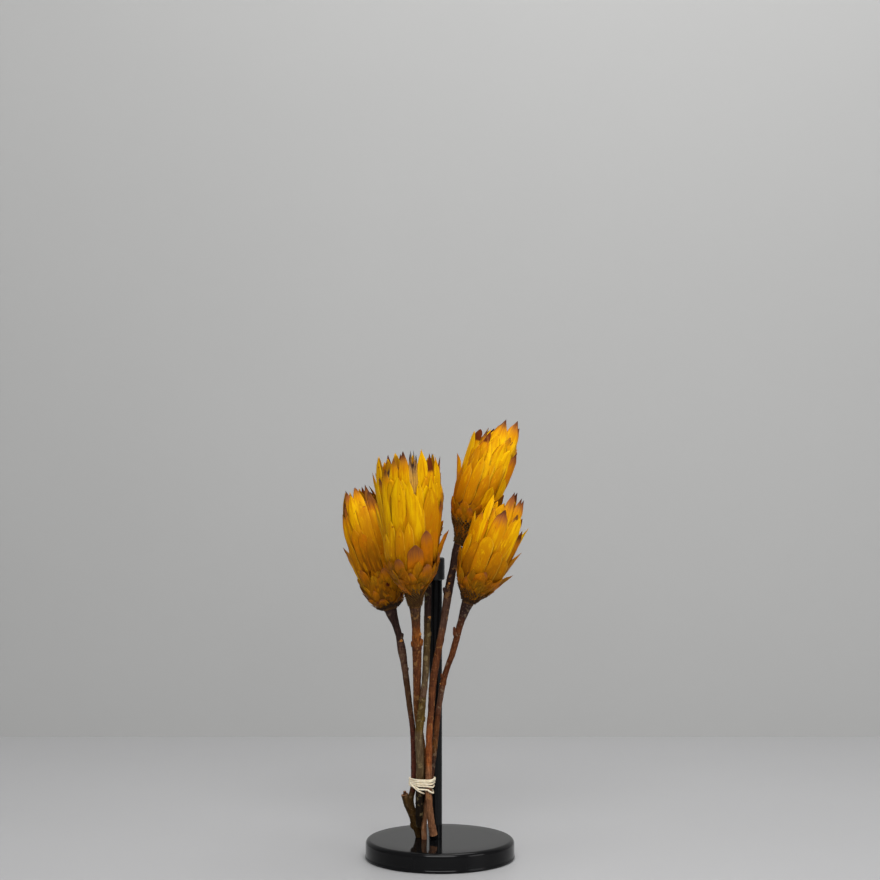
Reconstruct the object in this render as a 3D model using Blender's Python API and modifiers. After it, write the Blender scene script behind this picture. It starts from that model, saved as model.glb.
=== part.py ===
"""A tied bunch of five dried sugarbush protea stems, leaning on a black display stand.

Sizes below are in millimetres and become metres where a mesh is made. The frame is +Z up,
with its origin at the middle of the disc's underside; the bunch is seen from -Y.
"""

import math
import random

import bmesh
import bpy
from mathutils import Matrix, Vector

MM = 0.001
FIT_GAP = 0.3

# Display stand
DISC_RADIUS = 60.0
DISC_HEIGHT = 15.4
DISC_FILLET = 3.7
DISC_FOOT_CHAMFER = 0.8
POST_AXIS = (-3.5, 0.0)
POST_RADIUS = 5.2
POST_TOP = 238.0
SPIGOT_RADIUS = 3.0
SPIGOT_DEPTH = 10.0
CAP_RADIUS = 7.2
CAP_BOTTOM = 222.0
CAP_TOP = 240.0
CAP_EDGE = 1.5
JAW_HEIGHT = 8.0
JAW_MIDDLE = 229.0
JAW_WALL = 1.8
JAW_CLEARANCE = 0.5
JAW_OPENING = 80.0
JAW_STEPS = 12
ARM_WIDTH = 5.0
ARM_SINK = 0.6

# Stems: the route's points with the radius there (x, y, z, radius), from the foot upwards
STEMS = {
    "left": [
        (-19.8, 0.2, 23.5, 3.0), (-22.2, -3.5, 37.0, 3.1), (-23.6, -6.6, 47.0, 2.6),
        (-21.2, -9.5, 58.0, 2.3), (-20.9, -9.6, 72.0, 2.2), (-21.5, -7.2, 100.0, 2.2),
        (-23.7, -5.8, 118.0, 2.2), (-26.7, -3.8, 141.0, 2.5), (-29.0, -1.6, 157.0, 2.8),
        (-30.7, 0.0, 166.5, 3.4), (-32.8, 1.8, 177.0, 2.7), (-35.9, 3.9, 187.0, 3.1),
    ],
    "centre": [
        (-15.0, 9.0, 14.0, 2.7), (-15.3, 5.2, 26.0, 2.6), (-15.2, 1.8, 36.0, 2.6),
        (-14.4, -2.6, 47.0, 2.7), (-13.0, -6.6, 59.0, 2.8), (-13.4, -8.5, 80.0, 2.7),
        (-15.6, -9.9, 100.0, 2.7), (-18.2, -11.4, 118.0, 2.7), (-18.2, -14.2, 142.0, 3.2),
        (-18.2, -18.0, 160.0, 3.5), (-18.3, -21.2, 173.0, 3.9), (-18.8, -24.8, 186.0, 3.4),
    ],
    "middle": [
        (-17.2, -7.6, 26.0, 2.0), (-16.3, -9.0, 36.0, 3.0), (-16.4, -11.2, 46.0, 3.2),
        (-16.0, -13.6, 59.0, 3.3),
        (-15.8, -15.4, 80.0, 3.3), (-16.6, -16.6, 100.0, 3.3), (-14.8, -17.0, 118.0, 3.1),
        (-13.6, -17.0, 130.0, 2.7), (-12.0, -16.0, 142.0, 2.6), (-10.6, -12.6, 166.0, 2.8),
        (-10.0, -10.2, 190.0, 2.7), (-9.6, -9.6, 214.0, 2.9), (-9.7, -9.4, 232.0, 2.9),
    ],
    "rightTop": [
        (-5.1, -10.0, 20.0, 3.1), (-6.7, -11.8, 29.0, 2.9), (-8.2, -13.4, 41.0, 2.7),
        (-9.4, -15.3, 59.0, 2.6), (-8.8, -16.2, 73.0, 2.5), (-8.6, -16.2, 100.0, 2.6),
        (-7.2, -15.6, 118.0, 2.6), (-5.6, -14.2, 142.0, 2.9), (-1.4, -12.2, 166.0, 2.8),
        (3.1, -9.8, 190.0, 2.9), (6.8, -8.0, 214.0, 3.4), (10.4, -6.4, 232.0, 3.1),
    ],
    "rightLow": [
        (-12.6, -4.8, 14.0, 2.2), (-12.8, -4.6, 25.0, 2.2), (-12.0, -5.0, 36.0, 2.2),
        (-10.3, -6.9, 47.0, 2.2), (-8.3, -9.4, 59.0, 2.3), (-6.3, -9.9, 73.0, 2.2),
        (-3.2, -9.9, 100.0, 2.3), (-1.4, -10.4, 118.0, 2.2), (2.6, -12.6, 142.0, 2.3),
        (6.6, -15.4, 156.0, 2.3), (10.4, -18.0, 167.0, 2.5), (15.8, -22.0, 188.0, 2.7),
    ],
}
STEM_RING_SPACING = 11.0

# The stump of older wood that the left stem grew from, and the buds and leaf scars on the stems:
# height, direction round the stem in degrees (0 is +X, 90 is +Y), length, base radius, and how far it
# points up for each part that it points out
HEEL = [
    (-28.2, -6.6, 51.5, 2.8), (-25.2, -5.2, 43.5, 3.6), (-21.5, -3.0, 34.5, 3.6),
    (-18.9, -0.4, 26.0, 3.4), (-16.2, 3.4, 13.0, 2.6),
]
BUDS = {
    "left": [(176.5, 350, 3.2, 1.8, 1.6), (150.0, 20, 2.6, 1.4, 1.6), (25.0, 200, 3.4, 1.9, 1.2)],
    "centre": [(172.0, 195, 4.0, 2.4, 1.6), (173.0, 345, 4.8, 2.6, 1.6), (178.0, 265, 3.0, 1.8, 1.6)],
    "middle": [(190.0, 280, 3.4, 2.0, 1.6), (179.0, 330, 3.2, 1.8, 1.6), (128.0, 235, 3.6, 2.2, 1.6),
               (112.0, 350, 3.6, 1.8, 1.6)],
    "rightTop": [(213.0, 200, 4.4, 2.2, 1.6), (196.0, 60, 3.2, 1.8, 1.6), (150.0, 250, 2.8, 1.5, 1.6)],
    "rightLow": [(179.0, 215, 10.0, 1.5, 5.0), (146.0, 190, 3.2, 1.8, 1.6), (140.0, 10, 2.6, 1.4, 1.6),
                 (100.0, 250, 2.6, 1.4, 1.6)],
}
BUD_SINK = 0.45  # where it starts, as a share of the stem's radius
BUD_BLUNT = 0.55  # its end's radius, as a share of its root's

# Tie: a rubber band in turns (height at its middle, slope along X, slope along Y)
TIE_CENTRE = (-14.0, -11.0)
TIE_REACH = 9.0
TIE_STRAND_RADIUS = 0.75
TIE_TURNS = [
    (65.0, 0.0, 0.02), (63.6, 0.03, 0.0), (62.1, -0.02, 0.03), (60.2, -0.12, 0.02), (57.4, -0.34, 0.05),
]
TIE_POINTS = 14
TIE_CLEARANCE = 0.35

# Flower heads. neck and top end the axis; outline gives (height, radius) up the axis; cup is the
# height of the floor that the florets stand on; mouth is the florets' radius there, and crown their
# radius at the top of the packed column. leads are the bracts that stand out in view: side offset,
# tip height, facing (1 front, 0 edge, -1 back), flare, width, length.
HEADS = {
    "left": dict(
        neck=(-39.6, 5.5, 197.4), top=(-68.0, 20.0, 295.9), seed=11, scales=14, bracts=34, width=11.2,
        outline=[(0, 5.2), (5, 11.5), (11, 15.0), (23, 18.2), (48, 20.5), (74, 20.0), (94, 13.0), (104, 8.0)],
        cup=62.0, mouth=13.6, crown=10.2, floret_top=90.0,
        leads=[(-17.4, 83.0, 0, 0.5, 9.5, 60), (-22.5, 56.5, 0, 5.0, 8.0, 40), (-11.6, 95.0, 1, 0, 8.0, 60),
               (-8.3, 98.0, 1, 0, 13.0, 66), (-0.7, 100.5, 1, 0, 11.0, 64), (8.6, 101.5, 1, 0.5, 9.0, 60),
               (10.9, 85.0, 1, 1.0, 9.5, 58)],
    ),
    "centre": dict(
        neck=(-19.5, -29.0, 202.7), top=(-25.5, -43.0, 323.0), seed=5, scales=14, bracts=38, width=11.8,
        outline=[(0, 5.0), (7, 6.3), (13, 8.2), (19, 12.6), (26, 18.4), (46, 22.6), (65, 24.3), (88, 26.0),
                 (111, 26.2), (123, 25.0)],
        cup=74.0, mouth=17.8, crown=18.4, floret_top=117.0,
        leads=[(-27.5, 107.0, 0, 1.0, 8.0, 64), (-22.9, 118.5, -1, 0, 8.0, 66),
               (-17.0, 110.0, 1, 0, 11.5, 70), (-13.5, 118.5, -1, 0, 9.0, 66),
               (-10.5, 117.0, 1, -1.5, 9.5, 66), (-2.4, 122.0, 1, -0.5, 11.0, 70),
               (-5.2, 101.0, 1, 1.0, 14.0, 66), (12.1, 123.5, 1, -1.0, 13.5, 70),
               (16.6, 119.5, -1, 0, 9.0, 60), (24.0, 114.0, 0, 0, 8.5, 66), (18.0, 105.0, 1, 0.5, 14.5, 66),
               (11.4, 59.0, 1, 1.5, 10.0, 34), (1.9, 49.0, 1, 2.0, 13.5, 30), (-10.1, 39.7, 1, 1.5, 9.5, 22),
               (11.5, 34.5, 1, 1.5, 8.5, 20), (20.4, 43.0, 1, 1.0, 7.0, 26), (28.9, 59.0, 0, 5.5, 7.5, 32),
               (-19.4, 59.0, 1, 1.0, 9.0, 36)],
    ),
    "middle": dict(
        neck=(-10.0, -7.6, 246.0), top=(-13.0, 27.0, 314.0), seed=8, scales=6, bracts=22, width=9.2,
        outline=[(0, 3.8), (6, 6.5), (13, 11.0), (27, 15.8), (48, 15.8), (66, 9.5), (76, 6.0)],
        cup=46.0, mouth=10.4, crown=7.5, floret_top=64.0, leads=[],
    ),
    "rightTop": dict(
        neck=(14.9, -5.0, 250.2), top=(54.3, 3.0, 349.0), seed=21, scales=12, bracts=32, width=11.4,
        outline=[(0, 4.3), (6, 5.6), (12, 8.6), (17, 12.4), (28, 17.5), (42, 20.2), (60, 20.6), (85, 18.5),
                 (104, 10.5), (110, 8.0)],
        cup=64.0, mouth=13.3, crown=10.0, floret_top=92.0,
        leads=[(-27.6, 68.0, 0, 7.0, 6.5, 36), (-20.4, 91.0, 1, 3.0, 11.0, 62), (-3.0, 107.0, 1, 0, 14.0, 68),
               (6.6, 109.5, 1, 0, 13.0, 66), (10.5, 104.0, 0, 0, 7.0, 60), (16.0, 85.0, 1, 2.0, 8.0, 46),
               (15.8, 63.0, 1, 2.5, 8.0, 36), (-9.4, 93.0, 1, -1.5, 8.5, 60), (-1.5, 52.0, 1, 2.5, 9.5, 26)],
    ),
    "rightLow": dict(
        neck=(21.7, -25.0, 205.7), top=(58.4, -32.5, 296.0), seed=34, scales=12, bracts=30, width=11.0,
        outline=[(0, 5.0), (6, 8.0), (10, 11.5), (16, 15.5), (24, 18.5), (36, 20.2), (60, 19.5), (76, 16.0),
                 (92, 8.5), (98, 6.0)],
        cup=58.0, mouth=12.4, crown=8.0, floret_top=82.0,
        leads=[(1.8, 95.0, -1, 0, 8.5, 60), (8.4, 92.0, 1, 0, 10.0, 60), (-2.6, 85.0, 1, 0.5, 12.0, 58),
               (-20.6, 69.5, 0, 3.5, 7.0, 44), (-15.0, 70.0, 1, 2.0, 9.5, 44), (22.4, 74.0, 0, 6.5, 6.5, 40),
               (18.0, 69.0, 1, 2.0, 7.0, 40), (22.8, 53.0, 0, 3.5, 9.0, 34), (22.8, 34.5, 0, 3.5, 10.0, 26),
               (-21.6, 39.0, 0, 2.5, 7.0, 26)],
    ),
}
BRACT_THICKNESS = 1.0
BRACT_STATIONS = [(0.0, 0.62), (0.50, 1.0), (0.83, 0.84)]  # place along the blade, share of its width
BRACT_CUP = 0.14  # how far the edges draw in, as a share of the width
LOWEST_ROOT = 2.0
ROOT_BELOW_CUP = 4.0
ROOT_SINK = 1.6  # how deep a bract starts in the heart
LAYER_DEPTH = 0.07  # how much deeper a bract lies for each millimetre below its tip
FLARE_SHARE = 0.15  # how much of its tip's flare a bract has at its middle
LEAD_TURN = 0.5  # how far a lead turns its back to the front
LEAD_ROOT_SHARE = 0.8  # a lead's side offset at its root, as a share of the tip's
LEAD_SPACE = (0.55, 11.0)  # nearer a lead than this, in widths and in height, no other bract stands

# The spiral that the other bracts follow. Tips: the lowest and how far they spread, as shares of the
# head's height. Lengths: the shortest and how much longer the last one is; a bract's is a share too.
GOLDEN_ANGLE = math.radians(137.50776)
SCALE_TIPS = (0.07, 0.16)
SCALE_LENGTHS = (9.0, 5.0)
SCALE_WIDTH = 0.8
BRACT_TIPS = (0.22, 0.76)
BRACT_SHORTEST = 15.0
BRACT_LONGEST = 0.60
UNEVEN = dict(angle=0.12, height=2.0, width=0.8)  # the most that a random draw adds or takes away
FLARES = (-0.6, 1.6)

CORE_SIDES = 14
CORE_INSET = (0.6, 3.4)  # how far the heart lies inside the outline at its foot, and more at its top

FLORET_SPIKES = 12
FLORET_SIDES = 16
COLUMN_SHARE = 0.85  # how much of the florets' height is the packed column
SPIKE_SINK = 3.0
SPIKE_REACH = 0.72  # the outermost style's place, as a share of the column's radius at its top
SPIKE_RADII = (1.0, 0.35)
SPIKE_UNEVEN = 6.0  # the most that a style falls short of the florets' top


def clear_scene():
    for item in list(bpy.data.objects):
        bpy.data.objects.remove(item, do_unlink=True)


def make_collection(name):
    collection = bpy.data.collections.new(name)
    bpy.context.scene.collection.children.link(collection)
    return collection


def make_material(name, colour, roughness, metallic=0.0):
    material = bpy.data.materials.new(name)
    material.use_nodes = True
    shader = material.node_tree.nodes["Principled BSDF"]
    shader.inputs["Base Color"].default_value = (*colour, 1.0)
    shader.inputs["Roughness"].default_value = roughness
    shader.inputs["Metallic"].default_value = metallic
    return material


def add_object(name, mesh, collection, material=None):
    thing = bpy.data.objects.new(name, mesh)
    collection.objects.link(thing)
    if material:
        mesh.materials.clear()
        mesh.materials.append(material)
    return thing


def mesh_from(bm, name):
    mesh = bpy.data.meshes.new(name)
    bm.to_mesh(mesh)
    bm.free()
    return mesh


def evaluated_mesh(thing):
    """The mesh that the object's modifiers or curve give."""
    graph = bpy.context.evaluated_depsgraph_get()
    return bpy.data.meshes.new_from_object(thing.evaluated_get(graph))


def weld_caps(mesh):
    """Joins a tube's loose end caps to its sides."""
    bm = bmesh.new()
    bm.from_mesh(mesh)
    bmesh.ops.remove_doubles(bm, verts=bm.verts, dist=0.00001)
    bm.to_mesh(mesh)
    bm.free()


def remove_collection(collection):
    for item in list(collection.objects):
        bpy.data.objects.remove(item, do_unlink=True)
    bpy.data.collections.remove(collection)


def union_of(name, base_mesh, extra_meshes, collection, material):
    """One body from a base and the repeats that are sunk into it."""
    base = add_object(name, base_mesh, collection, material)
    repeats = make_collection(name + "_repeats")
    for number, mesh in enumerate(extra_meshes):
        add_object(f"{name}_repeat_{number}", mesh, repeats)
    union = base.modifiers.new("Join", "BOOLEAN")
    union.operation = "UNION"
    union.operand_type = "COLLECTION"
    union.collection = repeats
    union.solver = "MANIFOLD"
    joined = evaluated_mesh(base)
    joined.materials.clear()
    joined.materials.append(material)
    base.modifiers.clear()
    base.data = joined
    remove_collection(repeats)
    return base


def turned(name, profile, axis, sides, collection, material):
    """A solid of revolution about a vertical axis: the profile runs down its outer side."""
    bm = bmesh.new()
    verts = [bm.verts.new((radius * MM, 0, height * MM)) for radius, height in profile]
    for upper, lower in zip(verts, verts[1:]):
        bm.edges.new((upper, lower))
    thing = add_object(name, mesh_from(bm, name), collection, material)
    thing.location = (axis[0] * MM, axis[1] * MM, 0)
    screw = thing.modifiers.new("Turn", "SCREW")
    screw.steps = sides
    screw.render_steps = sides
    screw.use_merge_vertices = True
    screw.merge_threshold = 0.00001
    return thing


def fillet(centre_radius, centre_height, radius, steps):
    """Points of a quarter circle from straight up to straight out."""
    angles = [math.pi / 2 * (1 - step / steps) for step in range(steps + 1)]
    return [(centre_radius + radius * math.cos(a), centre_height + radius * math.sin(a)) for a in angles]


def read_outline(outline, height):
    """The radius at this height, straight between the outline's points."""
    if height <= outline[0][0]:
        return outline[0][1]
    for (low, low_radius), (high, high_radius) in zip(outline, outline[1:]):
        if height <= high:
            share = (height - low) / (high - low)
            return low_radius + (high_radius - low_radius) * share
    return outline[-1][1]


def smooth_route(points, spacing):
    """Points along a Catmull-Rom curve through the route's own points; each keeps its radius."""
    padded = [points[0], *points, points[-1]]
    route = []
    for before, start, end, after in zip(padded, padded[1:], padded[2:], padded[3:]):
        length = math.dist(start[:3], end[:3])
        steps = max(1, round(length / spacing))
        for step in range(steps):
            t = step / steps
            route.append(tuple(
                b + ((c - a) * t + (2 * a - 5 * b + 4 * c - d) * t**2 + (3 * b - a - 3 * c + d) * t**3) / 2
                for a, b, c, d in zip(before, start, end, after)
            ))
    route.append(points[-1])
    return route


def tube_mesh(name, route, sides_setting=2, cyclic=False):
    """A round tube along the route, as a closed mesh."""
    curve = bpy.data.curves.new(name, "CURVE")
    curve.dimensions = "3D"
    curve.bevel_depth = MM
    curve.bevel_resolution = sides_setting
    curve.use_fill_caps = True
    spline = curve.splines.new("POLY")
    spline.points.add(len(route) - 1)
    for point, (x, y, z, radius) in zip(spline.points, route):
        point.co = (x * MM, y * MM, z * MM, 1)
        point.radius = radius
    spline.use_cyclic_u = cyclic
    thing = bpy.data.objects.new(name, curve)
    bpy.context.scene.collection.objects.link(thing)
    mesh = evaluated_mesh(thing)
    weld_caps(mesh)
    bpy.data.objects.remove(thing, do_unlink=True)
    return mesh


def at_height(route, height):
    """The stem's centre and radius where it passes this height."""
    for low, high in zip(route, route[1:]):
        if low[2] <= height <= high[2]:
            share = (height - low[2]) / (high[2] - low[2])
            return tuple(a + (b - a) * share for a, b in zip(low, high))
    return route[0] if height < route[0][2] else route[-1]


class Axes:
    """A head's own axes: along its axis, to its right as seen from the front, and to the front."""

    def __init__(self, head):
        self.neck = Vector(head["neck"])
        self.up = (Vector(head["top"]) - self.neck).normalized()
        self.right = (Vector((1, 0, 0)) - self.up * self.up.x).normalized()
        self.front = self.right.cross(self.up)

    def out(self, angle):
        return self.right * math.cos(angle) + self.front * math.sin(angle)

    def point(self, height, radius, angle):
        return self.neck + self.up * height + self.out(angle) * radius


def stem_route(name):
    """The stem's route, ending square under its head's neck."""
    axes = Axes(HEADS[name])
    neck_radius = HEADS[name]["outline"][0][1]
    below, end = axes.neck - axes.up * 5, axes.neck - axes.up * FIT_GAP
    points = [*STEMS[name], (*below, neck_radius * 0.8), (*end, neck_radius * 0.95)]
    return smooth_route(points, STEM_RING_SPACING)


def bud_mesh(route, height, direction, length, radius, rise):
    """A bud or leaf scar: a short blunt cone that points up and out, sunk into the stem."""
    x, y, z, stem_radius = at_height(route, height)
    angle = math.radians(direction)
    aim = Vector((math.cos(angle), math.sin(angle), rise)).normalized()
    start = Vector((x, y, z)) + Vector((math.cos(angle), math.sin(angle), 0)) * stem_radius * BUD_SINK
    bm = bmesh.new()
    bmesh.ops.create_cone(bm, cap_ends=True, segments=6, radius1=radius * MM, radius2=radius * BUD_BLUNT * MM,
                          depth=length * MM)
    turn = aim.to_track_quat("Z", "Y").to_matrix().to_4x4()
    place = Matrix.Translation((start + aim * length / 2) * MM) @ turn
    bmesh.ops.transform(bm, matrix=place, verts=bm.verts)
    return mesh_from(bm, "bud")


def trim_foot(stem):
    """Cuts a stem's foot level, just clear of the disc that it stands on."""
    bm = bmesh.new()
    bm.from_mesh(stem.data)
    whole = bm.verts[:] + bm.edges[:] + bm.faces[:]
    cut = bmesh.ops.bisect_plane(bm, geom=whole, dist=0.000001, plane_co=(0, 0, (DISC_HEIGHT + FIT_GAP) * MM),
                                 plane_no=(0, 0, -1), clear_outer=True)
    rim = [item for item in cut["geom_cut"] if isinstance(item, bmesh.types.BMEdge)]
    if rim:
        bmesh.ops.holes_fill(bm, edges=rim, sides=0)
    bm.to_mesh(stem.data)
    bm.free()


def build_stems(collection, bark, old_wood):
    for name in STEMS:
        route = stem_route(name)
        extras = [bud_mesh(route, *bud) for bud in BUDS[name]]
        if name == "left":
            extras.append(tube_mesh("heel", smooth_route(HEEL, STEM_RING_SPACING)))
        material = old_wood if name in ("left", "middle") else bark
        trim_foot(union_of(f"stem_{name}", tube_mesh(name, route), extras, collection, material))


def tie_turn(routes, height, slope_x, slope_y):
    """One turn of the band: the line drawn tight round the five stems, kept just clear of them."""
    middle = Vector(TIE_CENTRE)
    turn = []
    for step in range(TIE_POINTS):
        angle = 2 * math.pi * step / TIE_POINTS
        aim = Vector((math.cos(angle), math.sin(angle)))
        z = height + (aim.x * slope_x + aim.y * slope_y) * TIE_REACH
        reaches = []
        for route in routes:
            x, y, _, radius = at_height(route, z)
            reaches.append(((Vector((x, y)) - middle).dot(aim) + radius, x, y, radius))
        _, x, y, radius = max(reaches)
        offset = radius + TIE_CLEARANCE + TIE_STRAND_RADIUS
        turn.append((x + aim.x * offset, y + aim.y * offset, z, TIE_STRAND_RADIUS))
    return turn


def build_tie(collection, rubber):
    routes = [stem_route(name) for name in STEMS]
    turns = [tube_mesh("turn", tie_turn(routes, *turn), 1, cyclic=True) for turn in TIE_TURNS]
    union_of("tie_band", turns[0], turns[1:], collection, rubber)


def build_stand(collection, cutters, paint, moulding):
    rim = DISC_RADIUS - DISC_FILLET
    profile = [(0, DISC_HEIGHT), *fillet(rim, DISC_HEIGHT - DISC_FILLET, DISC_FILLET, 4),
               (DISC_RADIUS, DISC_FOOT_CHAMFER), (DISC_RADIUS - DISC_FOOT_CHAMFER, 0), (0, 0)]
    disc = turned("stand_base", profile, (0, 0), 48, collection, paint)
    hole_radius = SPIGOT_RADIUS + FIT_GAP
    hole = [(0, DISC_HEIGHT + 5), (hole_radius, DISC_HEIGHT + 5),
            (hole_radius, DISC_HEIGHT - SPIGOT_DEPTH), (0, DISC_HEIGHT - SPIGOT_DEPTH)]
    cutter = turned("spigot_hole", hole, POST_AXIS, 16, cutters, paint)
    cutter.hide_render = True
    cutter.display_type = "WIRE"
    cut = disc.modifiers.new("Spigot hole", "BOOLEAN")
    cut.operation = "DIFFERENCE"
    cut.object = cutter

    shoulder = DISC_HEIGHT + FIT_GAP
    post = [(0, POST_TOP), (POST_RADIUS - 0.6, POST_TOP), (POST_RADIUS, POST_TOP - 0.6),
            (POST_RADIUS, shoulder), (SPIGOT_RADIUS, shoulder),
            (SPIGOT_RADIUS, DISC_HEIGHT - SPIGOT_DEPTH + FIT_GAP), (0, DISC_HEIGHT - SPIGOT_DEPTH + FIT_GAP)]
    turned("stand_post", post, POST_AXIS, 24, collection, paint)
    build_clip(collection, moulding)


def jaw_mesh(x, y, inner, to_cap):
    """The jaw: an open ring of square section, closed towards the cap and open away from it."""
    opening = math.radians(JAW_OPENING)
    sweep = 2 * math.pi - opening
    outer = inner + JAW_WALL
    bm = bmesh.new()
    rows = []
    for step in range(JAW_STEPS + 1):
        angle = to_cap + math.pi + opening / 2 + sweep * step / JAW_STEPS
        row = []
        for reach, level in ((inner, -0.5), (outer, -0.5), (outer, 0.5), (inner, 0.5)):
            place = Vector((x + math.cos(angle) * reach, y + math.sin(angle) * reach,
                            JAW_MIDDLE + level * JAW_HEIGHT))
            row.append(bm.verts.new(place * MM))
        rows.append(row)
    for near, far in zip(rows, rows[1:]):
        for side in range(4):
            bm.faces.new((near[side], near[(side + 1) % 4], far[(side + 1) % 4], far[side]))
    bm.faces.new(rows[0][::-1])
    bm.faces.new(rows[-1])
    bmesh.ops.recalc_face_normals(bm, faces=bm.faces)
    return mesh_from(bm, "jaw")


def arm_mesh(x, y, inner, to_cap, bore):
    """The short arm between the cap's wall and the jaw's wall, sunk a little into both."""
    to_post = Vector((math.cos(to_cap), math.sin(to_cap)))
    near_cap = Vector(POST_AXIS) - to_post * (bore + ARM_SINK)
    near_stem = Vector((x, y)) + to_post * (inner + ARM_SINK)
    web = (near_cap + near_stem) / 2
    span = (near_cap - near_stem).length
    bm = bmesh.new()
    bmesh.ops.create_cube(bm, size=1.0)
    place = (Matrix.Translation((web.x * MM, web.y * MM, JAW_MIDDLE * MM)) @ Matrix.Rotation(to_cap, 4, "Z")
             @ Matrix.Diagonal((span * MM, ARM_WIDTH * MM, (JAW_HEIGHT - 1) * MM, 1)))
    bmesh.ops.transform(bm, matrix=place, verts=bm.verts)
    return mesh_from(bm, "arm")


def build_clip(collection, moulding):
    """A cap over the post's end with an open spring jaw at its side, which holds the middle stem."""
    bore = POST_RADIUS + FIT_GAP
    cap = [(0, CAP_TOP), (CAP_RADIUS - CAP_EDGE, CAP_TOP), (CAP_RADIUS, CAP_TOP - CAP_EDGE),
           (CAP_RADIUS, CAP_BOTTOM + 1), (CAP_RADIUS - 1, CAP_BOTTOM), (bore, CAP_BOTTOM),
           (bore, POST_TOP + FIT_GAP), (0, POST_TOP + FIT_GAP)]
    whole = turned("cap", cap, POST_AXIS, 24, collection, moulding)
    cap_mesh = evaluated_mesh(whole)
    cap_mesh.transform(whole.matrix_world)
    bpy.data.objects.remove(whole, do_unlink=True)

    x, y, _, radius = at_height(stem_route("middle"), JAW_MIDDLE)
    inner = radius + JAW_CLEARANCE
    to_cap = math.atan2(POST_AXIS[1] - y, POST_AXIS[0] - x)
    repeats = [jaw_mesh(x, y, inner, to_cap), arm_mesh(x, y, inner, to_cap, bore)]
    union_of("stand_clip", cap_mesh, repeats, collection, moulding)


def bract_mesh(root, middle, tip, facing, width):
    """A keeled blade with a pointed tip: its back is folded along the keel and its inner face is flat."""
    bend = middle * 2 - (root + tip) / 2
    bm = bmesh.new()
    rows = []
    for t, share in BRACT_STATIONS:
        centre = root * (1 - t) ** 2 + bend * 2 * t * (1 - t) + tip * t * t
        along = ((bend - root) * (1 - t) + (tip - bend) * t).normalized()
        side = along.cross(facing).normalized()
        outward = side.cross(along).normalized()
        half = side * width * share / 2
        draw = outward * width * share * BRACT_CUP
        thick = outward * BRACT_THICKNESS / 2
        row = [centre - half - draw, centre + thick, centre + half - draw]
        rows.append([bm.verts.new(point * MM) for point in row])
    for (left, keel, right), (left2, keel2, right2) in zip(rows, rows[1:]):
        for face in ((left, keel, keel2), (left, keel2, left2), (keel, right, keel2), (right, right2, keel2),
                     (right, left, right2), (left, left2, right2)):
            bm.faces.new(face)
    point = bm.verts.new(tip * MM)
    left, keel, right = rows[-1]
    for face in ((left, keel, point), (keel, right, point), (right, left, point)):
        bm.faces.new(face)
    bm.faces.new(rows[0][::-1])
    bmesh.ops.recalc_face_normals(bm, faces=bm.faces)
    return mesh_from(bm, "bract")


def core_radius(head, height):
    """The solid heart of the head, which the bracts grow from: just inside the outline."""
    at_foot, more_at_top = CORE_INSET
    inset = at_foot + more_at_top * min(1.0, height / head["cup"]) ** 1.5
    return read_outline(head["outline"], height) - inset


def side_angle(side, reach, facing):
    """The direction round the axis that puts a point this far to the side at this reach from it."""
    angle = math.acos(max(-1.0, min(1.0, side / reach)))
    return -angle if facing < 0 else angle


def bract_line(head, axes, bract):
    """Root, middle and tip of a bract whose tip lies on the outline, and the way that it faces.

    A bract of the rule keeps its angle all the way up. A lead runs up with its side offset kept,
    so that it shows its back as the closing tips draw in.
    """
    outline = head["outline"]
    root_height = min(max(bract["height"] - bract["length"], LOWEST_ROOT), head["cup"] - ROOT_BELOW_CUP)
    middle_height = (root_height + bract["height"]) / 2
    root_radius = core_radius(head, root_height) - ROOT_SINK
    depth = LAYER_DEPTH * bract["length"] / 2
    middle_radius = read_outline(outline, middle_height) - depth + bract["flare"] * FLARE_SHARE
    tip_radius = read_outline(outline, bract["height"]) + bract["flare"]
    angles = [bract["angle"]] * 3
    turned_to = Vector((0, 0, 0))
    if bract["lead"]:
        side, facing = bract["side"], bract["facing"]
        angles = [side_angle(side * LEAD_ROOT_SHARE, root_radius, facing),
                  side_angle(side, middle_radius, facing), side_angle(side, tip_radius, facing)]
        turned_to = axes.front * (-LEAD_TURN if facing < 0 else LEAD_TURN)
    return (axes.point(root_height, root_radius, angles[0]),
            axes.point(middle_height, middle_radius, angles[1]),
            axes.point(bract["height"], tip_radius, angles[2]),
            (axes.out(angles[1]) + turned_to).normalized())


def leads_of(head):
    """The bracts that are placed by hand, as records that name what each number is."""
    leads = []
    for side, height, facing, flare, width, length in head["leads"]:
        reach = read_outline(head["outline"], height) + flare
        leads.append(dict(lead=True, side=side, height=height, facing=facing, flare=flare, width=width,
                          length=length, angle=side_angle(side, reach, facing)))
    return leads


def is_taken(head, leads, bract):
    """True where a lead already stands in a bract's place."""
    radius = read_outline(head["outline"], bract["height"])
    widths, rise = LEAD_SPACE
    for lead in leads:
        turn = abs((lead["angle"] - bract["angle"] + math.pi) % (2 * math.pi) - math.pi) * radius
        if turn < widths * lead["width"] and abs(lead["height"] - bract["height"]) < rise:
            return True
    return False


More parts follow.
